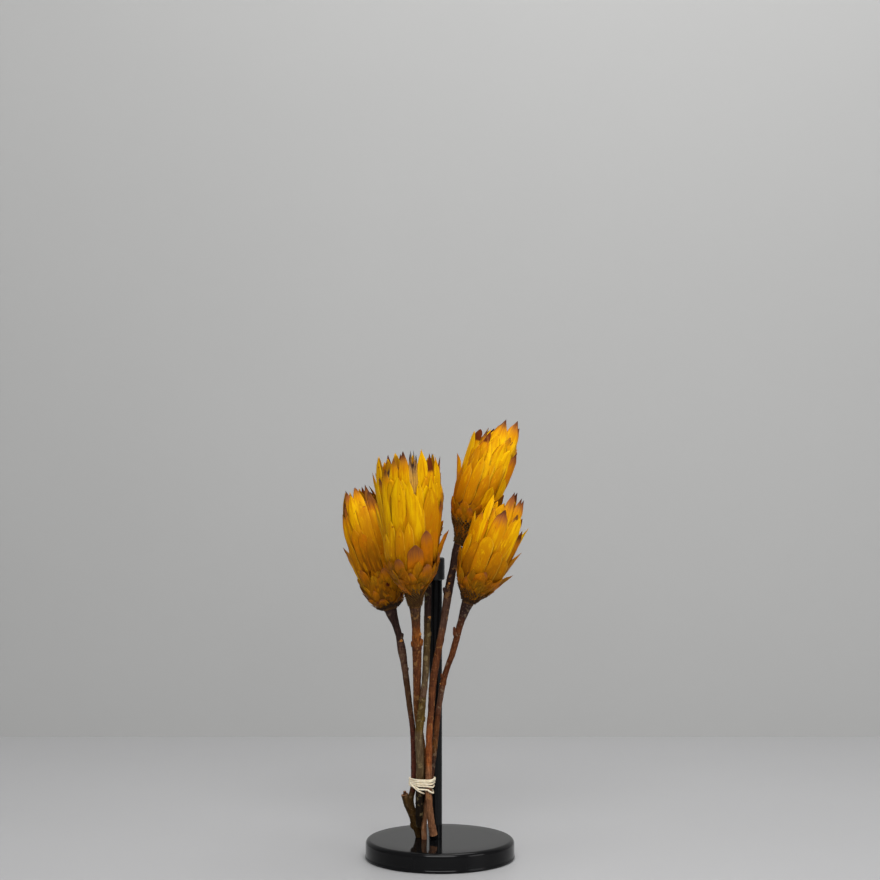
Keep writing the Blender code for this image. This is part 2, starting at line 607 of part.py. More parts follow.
def bracts_of(head):
    """Every bract of a head: the short scales at its foot, then the long bracts, in one spiral."""
    draw = random.Random(head["seed"])
    highest = head["outline"][-1][0]
    leads = leads_of(head)
    chosen = list(leads)
    for number in range(head["scales"] + head["bracts"]):
        uneven_angle = draw.uniform(-UNEVEN["angle"], UNEVEN["angle"])
        if number < head["scales"]:
            rank = (number + 0.5) / head["scales"]
            height = highest * (SCALE_TIPS[0] + SCALE_TIPS[1] * rank)
            length = SCALE_LENGTHS[0] + SCALE_LENGTHS[1] * rank
            width = head["width"] * SCALE_WIDTH
        else:
            rank = (number + 0.5 - head["scales"]) / head["bracts"]
            height = highest * (BRACT_TIPS[0] + BRACT_TIPS[1] * rank**0.8)
            length = BRACT_SHORTEST + (BRACT_LONGEST * highest - BRACT_SHORTEST) * rank**0.85
            width = head["width"] * (0.88 + 0.16 * math.sin(math.pi * rank))
        bract = dict(lead=False, angle=number * GOLDEN_ANGLE + uneven_angle, length=length,
                     height=height + draw.uniform(-UNEVEN["height"], UNEVEN["height"]),
                     width=width + draw.uniform(-UNEVEN["width"], UNEVEN["width"]),
                     flare=draw.uniform(*FLARES))
        if not is_taken(head, leads, bract):
            chosen.append(bract)
    return chosen


def heart_mesh(head, axes):
    """The head's solid heart: a turned body from the neck to the floor that the florets stand on."""
    between = [height for height, _ in head["outline"] if 0 < height < head["cup"] - 6]
    heights = [0.0, *between, head["cup"]]
    bm = bmesh.new()
    rings = []
    for height in heights:
        radius = head["outline"][0][1] if height == 0 else core_radius(head, height)
        rings.append([bm.verts.new(axes.point(height, radius, -2 * math.pi * side / CORE_SIDES) * MM)
                      for side in range(CORE_SIDES)])
    for low, high in zip(rings, rings[1:]):
        for side in range(CORE_SIDES):
            after = (side + 1) % CORE_SIDES
            bm.faces.new((low[side], low[after], high[after], high[side]))
    bm.faces.new(rings[0])
    bm.faces.new(rings[-1])
    bmesh.ops.recalc_face_normals(bm, faces=bm.faces)
    return mesh_from(bm, "heart")


def build_bloom(name, head, collection, petal_yellow):
    axes = Axes(head)
    blades = [bract_mesh(*bract_line(head, axes, bract), bract["width"]) for bract in bracts_of(head)]
    union_of(f"bloom_{name}", heart_mesh(head, axes), blades, collection, petal_yellow)


def build_florets(name, head, collection, floret_brown):
    """The packed florets that fill the bracts' bowl: a tapered column with styles standing out of it."""
    axes = Axes(head)
    draw = random.Random(head["seed"] + 100)
    floor = head["cup"] + FIT_GAP
    column_top = floor + (head["floret_top"] - floor) * COLUMN_SHARE
    bm = bmesh.new()
    turn = axes.up.to_track_quat("Z", "Y").to_matrix().to_4x4()
    centre = axes.neck + axes.up * (floor + column_top) / 2
    bmesh.ops.create_cone(bm, cap_ends=True, segments=FLORET_SIDES, radius1=head["mouth"] * MM,
                          radius2=head["crown"] * MM, depth=(column_top - floor) * MM,
                          matrix=Matrix.Translation(centre * MM) @ turn)
    column = mesh_from(bm, "column")
    spikes = []
    for number in range(FLORET_SPIKES):
        share = (number + 0.5) / FLORET_SPIKES
        angle = number * GOLDEN_ANGLE
        reach = head["crown"] * SPIKE_REACH * math.sqrt(share)
        root = axes.point(column_top - SPIKE_SINK, reach, angle)
        tip_height = head["floret_top"] - draw.uniform(0, SPIKE_UNEVEN)
        tip = axes.point(tip_height, reach * 1.05, angle)
        aim = tip - root
        bm = bmesh.new()
        bmesh.ops.create_cone(bm, cap_ends=True, segments=3, radius1=SPIKE_RADII[0] * MM,
                              radius2=SPIKE_RADII[1] * MM, depth=aim.length * MM)
        place = Matrix.Translation((root + tip) / 2 * MM) @ aim.to_track_quat("Z", "Y").to_matrix().to_4x4()
        bmesh.ops.transform(bm, matrix=place, verts=bm.verts)
        spikes.append(mesh_from(bm, "spike"))
    union_of(f"florets_{name}", column, spikes, collection, floret_brown)


def main():
    clear_scene()
    bunch = make_collection("Protea bunch")
    cutters = make_collection("Cutters")
    black_paint = make_material("Black gloss paint", (0.012, 0.012, 0.013), 0.15)
    black_plastic = make_material("Black plastic", (0.02, 0.02, 0.02), 0.4)
    bark = make_material("Red-brown bark", (0.16, 0.065, 0.03), 0.7)
    old_wood = make_material("Grey-brown bark", (0.10, 0.065, 0.035), 0.8)
    petal_yellow = make_material("Dried yellow bract", (0.78, 0.42, 0.01), 0.55)
    floret_brown = make_material("Dried floret", (0.30, 0.24, 0.17), 0.8)
    rubber = make_material("Cream rubber", (0.72, 0.60, 0.42), 0.6)

    build_stand(bunch, cutters, black_paint, black_plastic)
    build_stems(bunch, bark, old_wood)
    build_tie(bunch, rubber)
    for name, head in HEADS.items():
        build_bloom(name, head, bunch, petal_yellow)
        build_florets(name, head, bunch, floret_brown)


main()
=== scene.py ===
# A tied bunch of dried sugarbush proteas against a black display stand: the finish of every surface.
# Sizes in the dictionaries are millimetres, as in the part's own source; mm turns them into metres.
import math
import random

import bmesh
import bpy
from mathutils import Matrix, Vector


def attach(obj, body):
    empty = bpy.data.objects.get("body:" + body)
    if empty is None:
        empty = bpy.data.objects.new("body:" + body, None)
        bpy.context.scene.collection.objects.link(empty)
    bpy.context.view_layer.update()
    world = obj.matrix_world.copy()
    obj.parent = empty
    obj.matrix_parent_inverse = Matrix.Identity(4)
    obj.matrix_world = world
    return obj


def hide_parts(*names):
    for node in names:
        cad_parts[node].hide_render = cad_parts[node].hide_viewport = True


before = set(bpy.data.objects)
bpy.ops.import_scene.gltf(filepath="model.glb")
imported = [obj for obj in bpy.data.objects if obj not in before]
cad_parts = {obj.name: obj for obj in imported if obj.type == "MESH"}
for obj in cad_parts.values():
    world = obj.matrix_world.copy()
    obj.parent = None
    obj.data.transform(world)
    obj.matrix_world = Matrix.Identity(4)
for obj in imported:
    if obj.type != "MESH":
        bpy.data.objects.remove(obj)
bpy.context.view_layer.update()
mm = 0.001
goldenAngle = math.radians(137.50776)


# Node trees

def live(sockets):
    # The sockets that a node shows for its present type
    return [socket for socket in sockets if socket.enabled]


class Wiring:
    # Makes nodes in one tree. A number, a tuple or another node's socket can go into any input.
    def __init__(self, tree):
        self.tree = tree

    def feed(self, socket, value):
        if isinstance(value, bpy.types.NodeSocket):
            self.tree.links.new(value, socket)
        elif socket.type == "RGBA" and len(value) == 3:
            socket.default_value = (*value, 1.0)
        else:
            socket.default_value = value

    def add(self, kind, inputs=None, **settings):
        node = self.tree.nodes.new(kind)
        placed = len(self.tree.nodes)
        node.location = (200 * (placed % 10), -260 * (placed // 10))
        for name, value in settings.items():
            setattr(node, name, value)
        for name, value in (inputs or {}).items():
            self.feed(node.inputs[name], value)
        return node

    def maths(self, operation, *values, clamp=False):
        node = self.add("ShaderNodeMath", operation=operation, use_clamp=clamp)
        for socket, value in zip(node.inputs, values):
            self.feed(socket, value)
        return node.outputs[0]

    def vectors(self, operation, *values):
        node = self.add("ShaderNodeVectorMath", operation=operation)
        sockets = [node.inputs[0], node.inputs["Scale"]] if operation == "SCALE" else node.inputs
        for socket, value in zip(sockets, values):
            self.feed(socket, value)
        return node.outputs["Value" if operation in ("LENGTH", "DOT_PRODUCT") else "Vector"]

    def chained(self, operation, values):
        result = values[0]
        for value in values[1:]:
            result = self.maths(operation, result, value)
        return result

    def times(self, *values):
        return self.chained("MULTIPLY", values)

    def plus(self, *values):
        return self.chained("ADD", values)

    def minus(self, *values):
        return self.chained("SUBTRACT", values)

    def total(self, *vectors):
        result = vectors[0]
        for vector in vectors[1:]:
            result = self.vectors("ADD", result, vector)
        return result

    def split(self, vector):
        return self.add("ShaderNodeSeparateXYZ", {"Vector": vector}).outputs

    def joined(self, x, y, z):
        return self.add("ShaderNodeCombineXYZ", {"X": x, "Y": y, "Z": z}).outputs[0]

    def ramp(self, value, low, high, toLow=0.0, toHigh=1.0, smooth=True):
        # The value read between two limits, and held outside them
        node = self.add("ShaderNodeMapRange", {"Value": value, "From Min": low, "From Max": high,
                                               "To Min": toLow, "To Max": toHigh})
        node.interpolation_type = "SMOOTHSTEP" if smooth else "LINEAR"
        return node.outputs["Result"]

    def blend(self, share, first, second, kind="RGBA", mode="MIX"):
        node = self.add("ShaderNodeMix", data_type=kind)
        if kind == "RGBA":
            node.blend_type = mode
        for socket, value in zip(live(node.inputs), (share, first, second)):
            self.feed(socket, value)
        return live(node.outputs)[0]

    def layers(self, colour, *coats, mode="MIX"):
        # Colours laid one over another; each coat is its share and its colour
        for share, coat in coats:
            colour = self.blend(share, colour, coat, mode=mode)
        return colour

    def noise(self, vector, scale, detail=2.0, roughness=0.5):
        return self.add("ShaderNodeTexNoise", {"Vector": vector, "Scale": scale, "Detail": detail,
                                               "Roughness": roughness}).outputs[0]

    def curve(self, value, points):
        node = self.add("ShaderNodeFloatCurve", {"Value": value})
        line = node.mapping.curves[0]
        for place in points[2:]:
            line.points.new(*place)
        for point, place in zip(line.points, sorted(points)):
            point.location = place
        node.mapping.update()
        return node.outputs[0]


def newTree(name, kind, inputs, outputs):
    # A node tree with named sockets: (name, type) or (name, type, value)
    tree = bpy.data.node_groups.new(name, kind)
    for direction, sockets in (("INPUT", inputs), ("OUTPUT", outputs)):
        for label, form, *value in sockets:
            socket = tree.interface.new_socket(label, in_out=direction, socket_type="NodeSocket" + form)
            if value:
                socket.default_value = value[0]
    wires = Wiring(tree)
    return tree, wires, wires.add("NodeGroupInput").outputs, wires.add("NodeGroupOutput").inputs


def grow(holder, tree, values):
    # Runs a Geometry Nodes tree on an object and gives the plain mesh; the object and its modifier go
    modifier = holder.modifiers.new(tree.name, "NODES")
    modifier.node_group = tree
    for socket in tree.interface.items_tree:
        if socket.in_out == "INPUT" and socket.name in values:
            modifier[socket.identifier] = values[socket.name]
    graph = bpy.context.evaluated_depsgraph_get()
    mesh = bpy.data.meshes.new_from_object(holder.evaluated_get(graph))
    bpy.data.objects.remove(holder, do_unlink=True)
    return mesh


def linked(name, data):
    thing = bpy.data.objects.new(name, data)
    bpy.context.scene.collection.objects.link(thing)
    return thing


def finished(name, mesh, slotName, *nodes):
    # A piece of the object: it rides on the one body, and stands for the nodes that are named
    piece = linked(name, mesh)
    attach(piece, "root")
    if nodes:
        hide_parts(*nodes)


# Effects that several materials use

def makeSpecks():
    # Small dark dots, far apart: the share of speck at a point
    tree, wires, given, result = newTree("specks", "ShaderNodeTree", [
        ("Vector", "Vector"), ("Scale", "Float", 300.0), ("Size", "Float", 0.12), ("Amount", "Float", 0.3),
    ], [("Speck", "Float")])
    cells = wires.add("ShaderNodeTexVoronoi", {"Vector": given["Vector"], "Scale": given["Scale"]})
    dot = wires.ramp(cells.outputs["Distance"], given["Size"], wires.times(given["Size"], 0.45))
    kept = wires.maths("LESS_THAN", wires.split(cells.outputs["Color"])["X"], given["Amount"])
    wires.feed(result["Speck"], wires.times(dot, kept))
    return tree


def makeMottle():
    # Two colours mixed in soft patches
    tree, wires, given, result = newTree("mottle", "ShaderNodeTree", [
        ("Vector", "Vector"), ("Scale", "Float", 60.0), ("Low", "Float", 0.4), ("High", "Float", 0.6),
        ("First", "Color"), ("Second", "Color"),
    ], [("Color", "Color")])
    patches = wires.noise(given["Vector"], given["Scale"], 4.0, 0.6)
    share = wires.ramp(patches, given["Low"], given["High"])
    wires.feed(result["Color"], wires.blend(share, given["First"], given["Second"]))
    return tree


specksGroup = makeSpecks()
mottleGroup = makeMottle()


def newMaterial(name, **fixed):
    # A Principled material; what is the same all over is set on its own sockets
    material = bpy.data.materials.new(name)
    material.use_nodes = True
    shader = material.node_tree.nodes["Principled BSDF"]
    for label, value in fixed.items():
        shader.inputs[label.replace("_", " ")].default_value = value
    wires = Wiring(material.node_tree)
    place = wires.add("ShaderNodeTexCoord").outputs["Object"]
    return material, wires, shader.inputs, place


def attribute(wires, name, output="Vector"):
    return wires.add("ShaderNodeAttribute", attribute_name=name).outputs[output]


def specksAt(wires, vector, scale, size, amount):
    inputs = dict(Vector=vector, Scale=scale, Size=size, Amount=amount)
    return wires.add("ShaderNodeGroup", inputs, node_tree=specksGroup).outputs["Speck"]


def mottleAt(wires, vector, scale, low, high, first, second):
    inputs = dict(Vector=vector, Scale=scale, Low=low, High=high, First=first, Second=second)
    return wires.add("ShaderNodeGroup", inputs, node_tree=mottleGroup).outputs["Color"]


def bladeNoise(wires, blade, stretch, shift, *settings):
    # Noise laid on a bract's own across and along, and drawn afresh for each bract by its phase
    across, along, phase = blade
    place = wires.joined(wires.times(across, stretch[0]), wires.times(along, stretch[1]),
                         wires.plus(phase, shift))
    return wires.noise(place, *settings)


def bump(wires, shader, height, strength, distance=0.0005):
    node = wires.add("ShaderNodeBump", {"Height": height, "Strength": strength, "Distance": distance})
    wires.feed(shader["Normal"], node.outputs["Normal"])


def scaled(wires, vector, x, y, z):
    return wires.vectors("MULTIPLY", vector, (x, y, z))


# Materials

bractLook = dict(
    root=(0.21, 0.066, 0.0008), middle=(0.54, 0.200, 0.0004), upper=(0.80, 0.41, 0.0004),
    bright=(0.95, 0.58, 0.0006), orange=(0.58, 0.165, 0.0006), olive=(0.21, 0.115, 0.0040),
    foot=(0.095, 0.040, 0.005), stain=(0.50, 0.12, 0.001), bruise=(0.075, 0.012, 0.006),
    pale=(0.90, 0.56, 0.050), edge=(0.32, 0.095, 0.001), speck=(0.04, 0.010, 0.003),
    lowTip=(0.23, 0.074, 0.028), highTip=(0.30, 0.078, 0.026), brownTip=(0.15, 0.045, 0.008),
    dryEnd=(0.055, 0.020, 0.014), inner=(0.13, 0.026, 0.005),
)


def makeBractSkin():
    # Yellow above, olive to orange-brown below, rose-brown where a tip has dried hard
    look = bractLook
    material, wires, shader, place = newMaterial("bractSkin", Specular_IOR_Level=0.05)
    across, along, lift = wires.split(attribute(wires, "blade"))
    tone, dark, _ = wires.split(attribute(wires, "look"))
    rise, phase, _ = wires.split(attribute(wires, "more"))
    blade = (across, along, phase)

    def byRise(low, high):
        # A value for the short bracts low on a head, and another for the long ones above them
        return wires.ramp(rise, 0.45, 0.75, low, high)

    # A bract is browner and darker the lower it stands on the head, and towards its own root, partly its own
    # colour and partly painted shade low on the head and where the bracts below cover its root; tone shifts
    # all of it
    ageAndShade = wires.times(rise, wires.plus(wires.times(along, 0.55), 0.45))
    ageAndShade = wires.minus(ageAndShade, wires.times(tone, 0.15))
    patches = wires.noise(place, 70.0, 3.0, 0.55)
    shift = wires.plus(patches, wires.times(tone, 0.30))
    low = wires.ramp(rise, 0.50, 0.18, 0.0, 0.60)
    kept = wires.minus(rise, wires.times(tone, 0.10))
    colour = wires.layers(
        look["root"], (wires.ramp(ageAndShade, 0.20, 0.60), look["middle"]),
        (wires.ramp(ageAndShade, 0.52, 0.88), look["upper"]),
        (wires.ramp(shift, 0.54, 0.84, 0.0, 0.80), look["orange"]),
        (wires.times(low, wires.ramp(patches, 0.62, 0.38)), look["olive"]),
        (wires.ramp(kept, 0.24, 0.10, 0.0, 0.70), look["foot"]))

    # Veins run along the blade. One edge of it has a pale line, a painted highlight; the other has a brown
    # one, partly the bract's own margin and partly painted shade in the gap beside it
    veins = bladeNoise(wires, blade, (5.0, 1.4), 0.0, 1.6, 3.0, 0.6)
    streaks = bladeNoise(wires, blade, (1.6, 2.2), 7.0, 1.3, 2.0)
    flecks = bladeNoise(wires, blade, (3.0, 7.0), 3.0, 1.0, 3.0, 0.65)
    lit = wires.times(wires.ramp(streaks, 0.48, 0.34, 0.0, 0.5), wires.ramp(ageAndShade, 0.45, 0.8))
    bare = wires.times(wires.ramp(flecks, 0.45, 0.28, 0.0, 0.45), wires.ramp(ageAndShade, 0.25, 0.6))
    paintedEdgeHighlight = wires.times(wires.ramp(across, 0.78, 0.97), wires.ramp(tone, 0.5, -0.4, 0.0, 0.34),
                           wires.ramp(rise, 0.22, 0.45, 0.2, 1.0))
    brownEdgeAndShade = wires.times(wires.ramp(across, -0.84, -0.99), wires.ramp(veins, 0.35, 0.6, 0.25, 0.85))
    colour = wires.layers(
        colour, (wires.ramp(veins, 0.54, 0.72, 0.0, 0.50), look["orange"]),
        (wires.ramp(streaks, 0.52, 0.68, 0.0, 0.55), look["middle"]), (lit, look["bright"]),
        (wires.ramp(flecks, 0.55, 0.74, 0.0, 0.55), look["stain"]), (bare, look["bright"]),
        (paintedEdgeHighlight, look["pale"]), (brownEdgeAndShade, look["edge"]))

    # A dried tip: rose-brown with a ragged lower edge, and a black end where the bract is darkest. On a
    # long bract, high up, it takes a smaller share of the length and ends more sharply
    frayed = wires.plus(along, wires.times(wires.minus(veins, 0.5), byRise(0.40, 0.26)))
    deepest = wires.times(wires.ramp(dark, 0.0, 1.5, 0.0, 1.5, smooth=False), byRise(0.34, 0.21))
    reached = wires.maths("DIVIDE", wires.minus(frayed, wires.minus(1.02, deepest)), byRise(0.36, 0.15))
    halo = wires.times(wires.ramp(reached, -0.8, 0.1, 0.0, 0.55), wires.ramp(dark, 0.05, 0.4))
    tipShare = wires.times(wires.ramp(reached, -0.16, 1.0), wires.ramp(dark, 0.0, 0.6, 0.0, 0.90))
    tipColour = wires.layers(look["lowTip"], (byRise(0.0, 1.0), look["highTip"]),
                             (wires.ramp(dark, 1.05, 1.7), look["brownTip"]))
    endShare = wires.times(wires.ramp(frayed, 0.88, 0.98),
                           wires.times(wires.ramp(dark, 0.25, 0.9), wires.ramp(rise, 0.5, 0.8, 0.3, 0.9)))

    # The inner face, and the end of a bract that folds over and shows it
    folded = wires.plus(along, wires.times(dark, 0.235))
    inside = wires.maths("MAXIMUM", wires.ramp(lift, 0.1, -0.3, 0.0, 0.60),
                         wires.times(wires.ramp(dark, 2.0, 2.2), wires.ramp(folded, 1.36, 1.42)))
    colour = wires.layers(colour, (halo, look["orange"]), (tipShare, tipColour), (endShare, look["dryEnd"]),
                          (inside, look["inner"]))

    # Small dark dots, each in a warm stain, short brown marks, and bruises low down
    stain = specksAt(wires, place, 190.0, 0.26, 0.08)
    speck = specksAt(wires, place, 190.0, 0.10, 0.08)
    marks = specksAt(wires, scaled(wires, place, 1.0, 1.0, 0.4), 420.0, 0.22, 0.12)
    bruise = wires.times(specksAt(wires, place, 115.0, 0.28, 0.45), wires.ramp(rise, 0.24, 0.14))
    colour = wires.layers(
        colour, (wires.times(stain, 0.6), look["stain"]), (wires.times(speck, 0.9), look["speck"]),
        (wires.times(marks, 0.6), look["edge"]), (bruise, look["bruise"]))
    wires.feed(shader["Base Color"], colour)
    wires.feed(shader["Roughness"], wires.ramp(veins, 0.3, 0.8, 0.50, 0.72))
    bump(wires, shader, wires.plus(wires.times(veins, 0.8), wires.times(patches, 0.4)), 0.6, 0.0004)
    return material


def makeHeartSkin():
    # What shows deep between the bracts: dark brown at the cone, orange-brown above it
    material, wires, shader, place = newMaterial("heartSkin", Roughness=0.85, Specular_IOR_Level=0.15)
    colour = mottleAt(wires, place, 260.0, 0.35, 0.65, (0.11, 0.036, 0.002), (0.28, 0.094, 0.003))
    cone = mottleAt(wires, place, 400.0, 0.35, 0.65, (0.060, 0.026, 0.009), (0.105, 0.046, 0.012))
    colour = wires.blend(attribute(wires, "aboveCone", "Fac"), cone, colour)
    dark = specksAt(wires, place, 520.0, 0.30, 0.30)
    colour = wires.blend(wires.times(dark, 0.5), colour, (0.03, 0.012, 0.004))
    wires.feed(shader["Base Color"], colour)
    bump(wires, shader, wires.noise(place, 900.0, 3.0), 0.7)
    return material


def makeConeSkin():
    # The grains of the cone under a head: dark brown, each with an olive or yellow end, and the lowest near
    # black, painted shade under the head
    material, wires, shader, place = newMaterial("coneSkin", Roughness=0.75, Specular_IOR_Level=0.2)
    along = wires.split(attribute(wires, "blade"))["Y"]
    tone = wires.split(attribute(wires, "look"))["X"]
    rise = wires.split(attribute(wires, "more"))["X"]
    ending = wires.blend(wires.ramp(tone, 0.3, 1.0), (0.090, 0.040, 0.008), (0.17, 0.090, 0.016))
    colour = wires.layers(
        (0.060, 0.025, 0.007), (wires.ramp(along, 0.45, 0.95, 0.10, 0.85), ending),
        (wires.ramp(wires.noise(place, 150.0), 0.45, 0.70, 0.0, 0.5), (0.05, 0.020, 0.007)),
        # Painted shade: the lowest grains, under the head, go near black, and more of them do on a dull head
        (wires.ramp(rise, 0.05, -0.03, 0.0, 0.70), (0.024, 0.012, 0.006)))
    wires.feed(shader["Base Color"], colour)
    bump(wires, shader, wires.noise(place, 1200.0, 3.0), 0.6, 0.0003)
    return material


def makeFloretSkin():
    # Dry hairy florets: cream below, grey-brown to black at the ends
    material, wires, shader, place = newMaterial("floretHair", Roughness=0.85, Specular_IOR_Level=0.2)
    along = wires.split(attribute(wires, "blade"))["Y"]
    tone = wires.split(attribute(wires, "look"))["X"]
    hair = wires.noise(scaled(wires, place, 1.0, 1.0, 0.2), 2500.0)
    colour = wires.layers(
        (0.42, 0.185, 0.018), (wires.ramp(tone, -1.0, 1.0), (0.68, 0.36, 0.055)),
        (wires.ramp(along, 0.72, 0.86, 0.0, 0.6), (0.27, 0.14, 0.085)),
        (wires.ramp(along, 0.84, 0.93), (0.060, 0.028, 0.022)),
        (wires.ramp(hair, 0.5, 0.7, 0.0, 0.45), (0.15, 0.085, 0.045)))
    wires.feed(shader["Base Color"], colour)
    bump(wires, shader, hair, 0.8, 0.0003)
    return material


# Tones of the dry bark, named for what they look like; the near-black one is painted shade, for the feet of
# stems deep in the bunch
woodTones = dict(
    paintedShadeBlack=(0.015, 0.009, 0.004), umber=(0.042, 0.020, 0.015), heelBrown=(0.080, 0.042, 0.009),
    oxblood=(0.105, 0.026, 0.014), walnut=(0.090, 0.042, 0.016), greyPlum=(0.120, 0.062, 0.038),
    russet=(0.148, 0.046, 0.013), rust=(0.290, 0.082, 0.019), ochre=(0.135, 0.052, 0.010),
    amber=(0.33, 0.105, 0.012), olive=(0.108, 0.066, 0.019), moss=(0.125, 0.076, 0.013),
    lichenGrey=(0.138, 0.094, 0.046), clay=(0.340, 0.160, 0.074),
)


def makeBark(name, zones, flake, flakeShare):
    # Bark that changes tone up the stem, with lengthwise grain, wrinkle rings, flakes and fine specks
    material, wires, shader, place = newMaterial(name, Specular_IOR_Level=0.14)
    low, high = zones[0][0], zones[-1][0]
    uneven = wires.times(wires.minus(wires.noise(place, 180.0, 3.0), 0.5), 0.022)
    height = wires.plus(wires.split(place)["Z"], uneven)
    rampNode = wires.add("ShaderNodeValToRGB", {"Fac": wires.ramp(height, low * mm, high * mm, smooth=False)})
    stops = rampNode.color_ramp.elements
    for _ in zones[2:]:
        stops.new(0.5)
    for stop, (level, tone) in zip(stops, zones):
        stop.position = (level - low) / (high - low)
        stop.color = (*woodTones[tone], 1)
    patches = wires.noise(place, 100.0, 4.0, 0.6)
    grain = wires.noise(scaled(wires, place, 1.0, 1.0, 0.12), 1100.0, 4.0, 0.6)
    wrinkles = wires.noise(scaled(wires, place, 0.10, 0.10, 1.0), 620.0, 3.0, 0.65)
    colour = wires.layers(
        rampNode.outputs[0], (wires.ramp(patches, 0.38, 0.62, 0.7, 0.0), (0.62, 0.55, 0.55)),
        (wires.ramp(grain, 0.40, 0.66, 0.75, 0.0), (0.45, 0.38, 0.36)),
        (wires.ramp(grain, 0.55, 0.75), (1.55, 1.55, 1.6)),
        (wires.ramp(wrinkles, 0.58, 0.70, 0.0, 0.8), (0.35, 0.30, 0.30)), mode="MULTIPLY")
    scabs = wires.noise(place, 210.0, 4.0, 0.62)
    wart = wires.ramp(attribute(wires, "wart", "Fac"), 0.0, 1.0, 0.0, 0.5)
    speck = specksAt(wires, place, 480.0, 0.22, 0.22)
    colour = wires.layers(colour, (wires.ramp(scabs, 0.56, 0.64, 0.0, flakeShare), flake), (wart, flake),
                          (wires.times(speck, 0.8), (0.010, 0.006, 0.004)))
    wires.feed(shader["Base Color"], colour)
    wires.feed(shader["Roughness"], wires.ramp(grain, 0.3, 0.7, 0.80, 0.60))
    relief = wires.plus(grain, wires.times(wrinkles, -0.6))
    bump(wires, shader, relief, 0.8)
    return material


def makeScar():
    # A leaf scar or a bud's broken end: bright orange, mottled with darker brown
    material, wires, shader, place = newMaterial("scarWood", Roughness=0.6, Specular_IOR_Level=0.3)
    colour = mottleAt(wires, place, 700.0, 0.35, 0.65, (0.20, 0.060, 0.010), (0.62, 0.25, 0.035))
    wires.feed(shader["Base Color"], colour)
    bump(wires, shader, wires.noise(place, 1500.0, 2.0), 0.5, 0.0003)
    return material


def makeCutWood():
    # A broken or cut end: pale orange fibres streaked with darker ones
    material, wires, shader, place = newMaterial("cutWood", Roughness=0.85)
    fibres = wires.noise(scaled(wires, place, 1.0, 1.0, 0.3), 1500.0, 3.0)
    colour = wires.blend(wires.ramp(fibres, 0.35, 0.7), (0.13, 0.050, 0.018), (0.34, 0.16, 0.06))
    wires.feed(shader["Base Color"], colour)
    bump(wires, shader, fibres, 0.9)
    return material


def makeRubber():
    material, wires, shader, place = newMaterial("creamRubber", Roughness=0.55, Subsurface_Weight=0.15,
                                                 Subsurface_Radius=(0.5, 0.4, 0.25), Subsurface_Scale=0.001)
    colour = mottleAt(wires, place, 260.0, 0.35, 0.7, (0.78, 0.66, 0.47), (0.90, 0.81, 0.63))
    grime = specksAt(wires, place, 900.0, 0.20, 0.25)
    colour = wires.blend(wires.times(grime, 0.25), colour, (0.36, 0.25, 0.14))
    wires.feed(shader["Base Color"], colour)
    bump(wires, shader, wires.noise(place, 1400.0, 3.0), 0.35, 0.0002)
    return material


def makePaint():
    # Glossy black paint, with faint wipe marks and a little dust
    material, wires, shader, place = newMaterial("glossBlackPaint", Specular_IOR_Level=0.15)
    wipes = wires.noise(scaled(wires, place, 1.0, 0.25, 1.0), 60.0, 4.0, 0.6)
    dust = specksAt(wires, place, 300.0, 0.07, 0.16)
    colour = wires.blend(wires.times(dust, 0.6), (0.004, 0.004, 0.0045), (0.20, 0.19, 0.17))
    wires.feed(shader["Base Color"], colour)
    wires.feed(shader["Roughness"], wires.ramp(wipes, 0.35, 0.75, 0.07, 0.15))
    bump(wires, shader, wires.noise(place, 240.0, 2.0), 0.03, 0.0002)
    return material


def makePlastic():
    material, wires, shader, place = newMaterial("blackPlastic", Specular_IOR_Level=0.35)
    grain = wires.noise(place, 2600.0, 2.0)
    colour = mottleAt(wires, place, 120.0, 0.3, 0.7, (0.012, 0.012, 0.012), (0.020, 0.020, 0.021))
    wires.feed(shader["Base Color"], colour)
    wires.feed(shader["Roughness"], wires.ramp(grain, 0.3, 0.7, 0.32, 0.46))
    bump(wires, shader, grain, 0.25, 0.0001)
    return material


skins = {
    "bract": makeBractSkin(),
    "heart": makeHeartSkin(),
    "cone": makeConeSkin(),
    "floret": makeFloretSkin(),
    "scar": makeScar(),
    "cutWood": makeCutWood(),
    "rubber": makeRubber(),
    "paint": makePaint(),
    "plastic": makePlastic(),
}
print("materials made:", len(skins))


# Turned pieces of the stand

standSizes = dict(
    discRadius=60.0, discHeight=15.4, discFillet=3.7, footBead=1.4, beadArc=(47, -90), sideInset=0.45,
    topRings=(0, 20, 45), footRings=(40, 0), discSides=160, discSharp=60,
    postAxis=(-3.5, 0.0), postRadius=5.2, postTop=238.0, postEdge=0.6, postRings=(200, 20, -30), postSides=64,
    fitGap=0.3, capRadius=7.2, capBottom=222.0, capTop=240.0, capEdge=1.5, capBore=5.5, capBevel=1,
    jawHeight=8.0, jawMiddle=229.0, jawWall=1.8, jawEdge=0.4, jawClearance=0.5, jawOpening=80.0, jawSteps=36,
    armWidth=5.0, armSink=0.6, armLower=1,
)


def arcPoints(centreRadius, centreHeight, radius, start, end, steps):
    # Points of an arc in a profile; angles in degrees from straight out
    angles = [math.radians(start + (end - start) * step / steps) for step in range(steps + 1)]
    return [(centreRadius + radius * math.cos(a), centreHeight + radius * math.sin(a)) for a in angles]


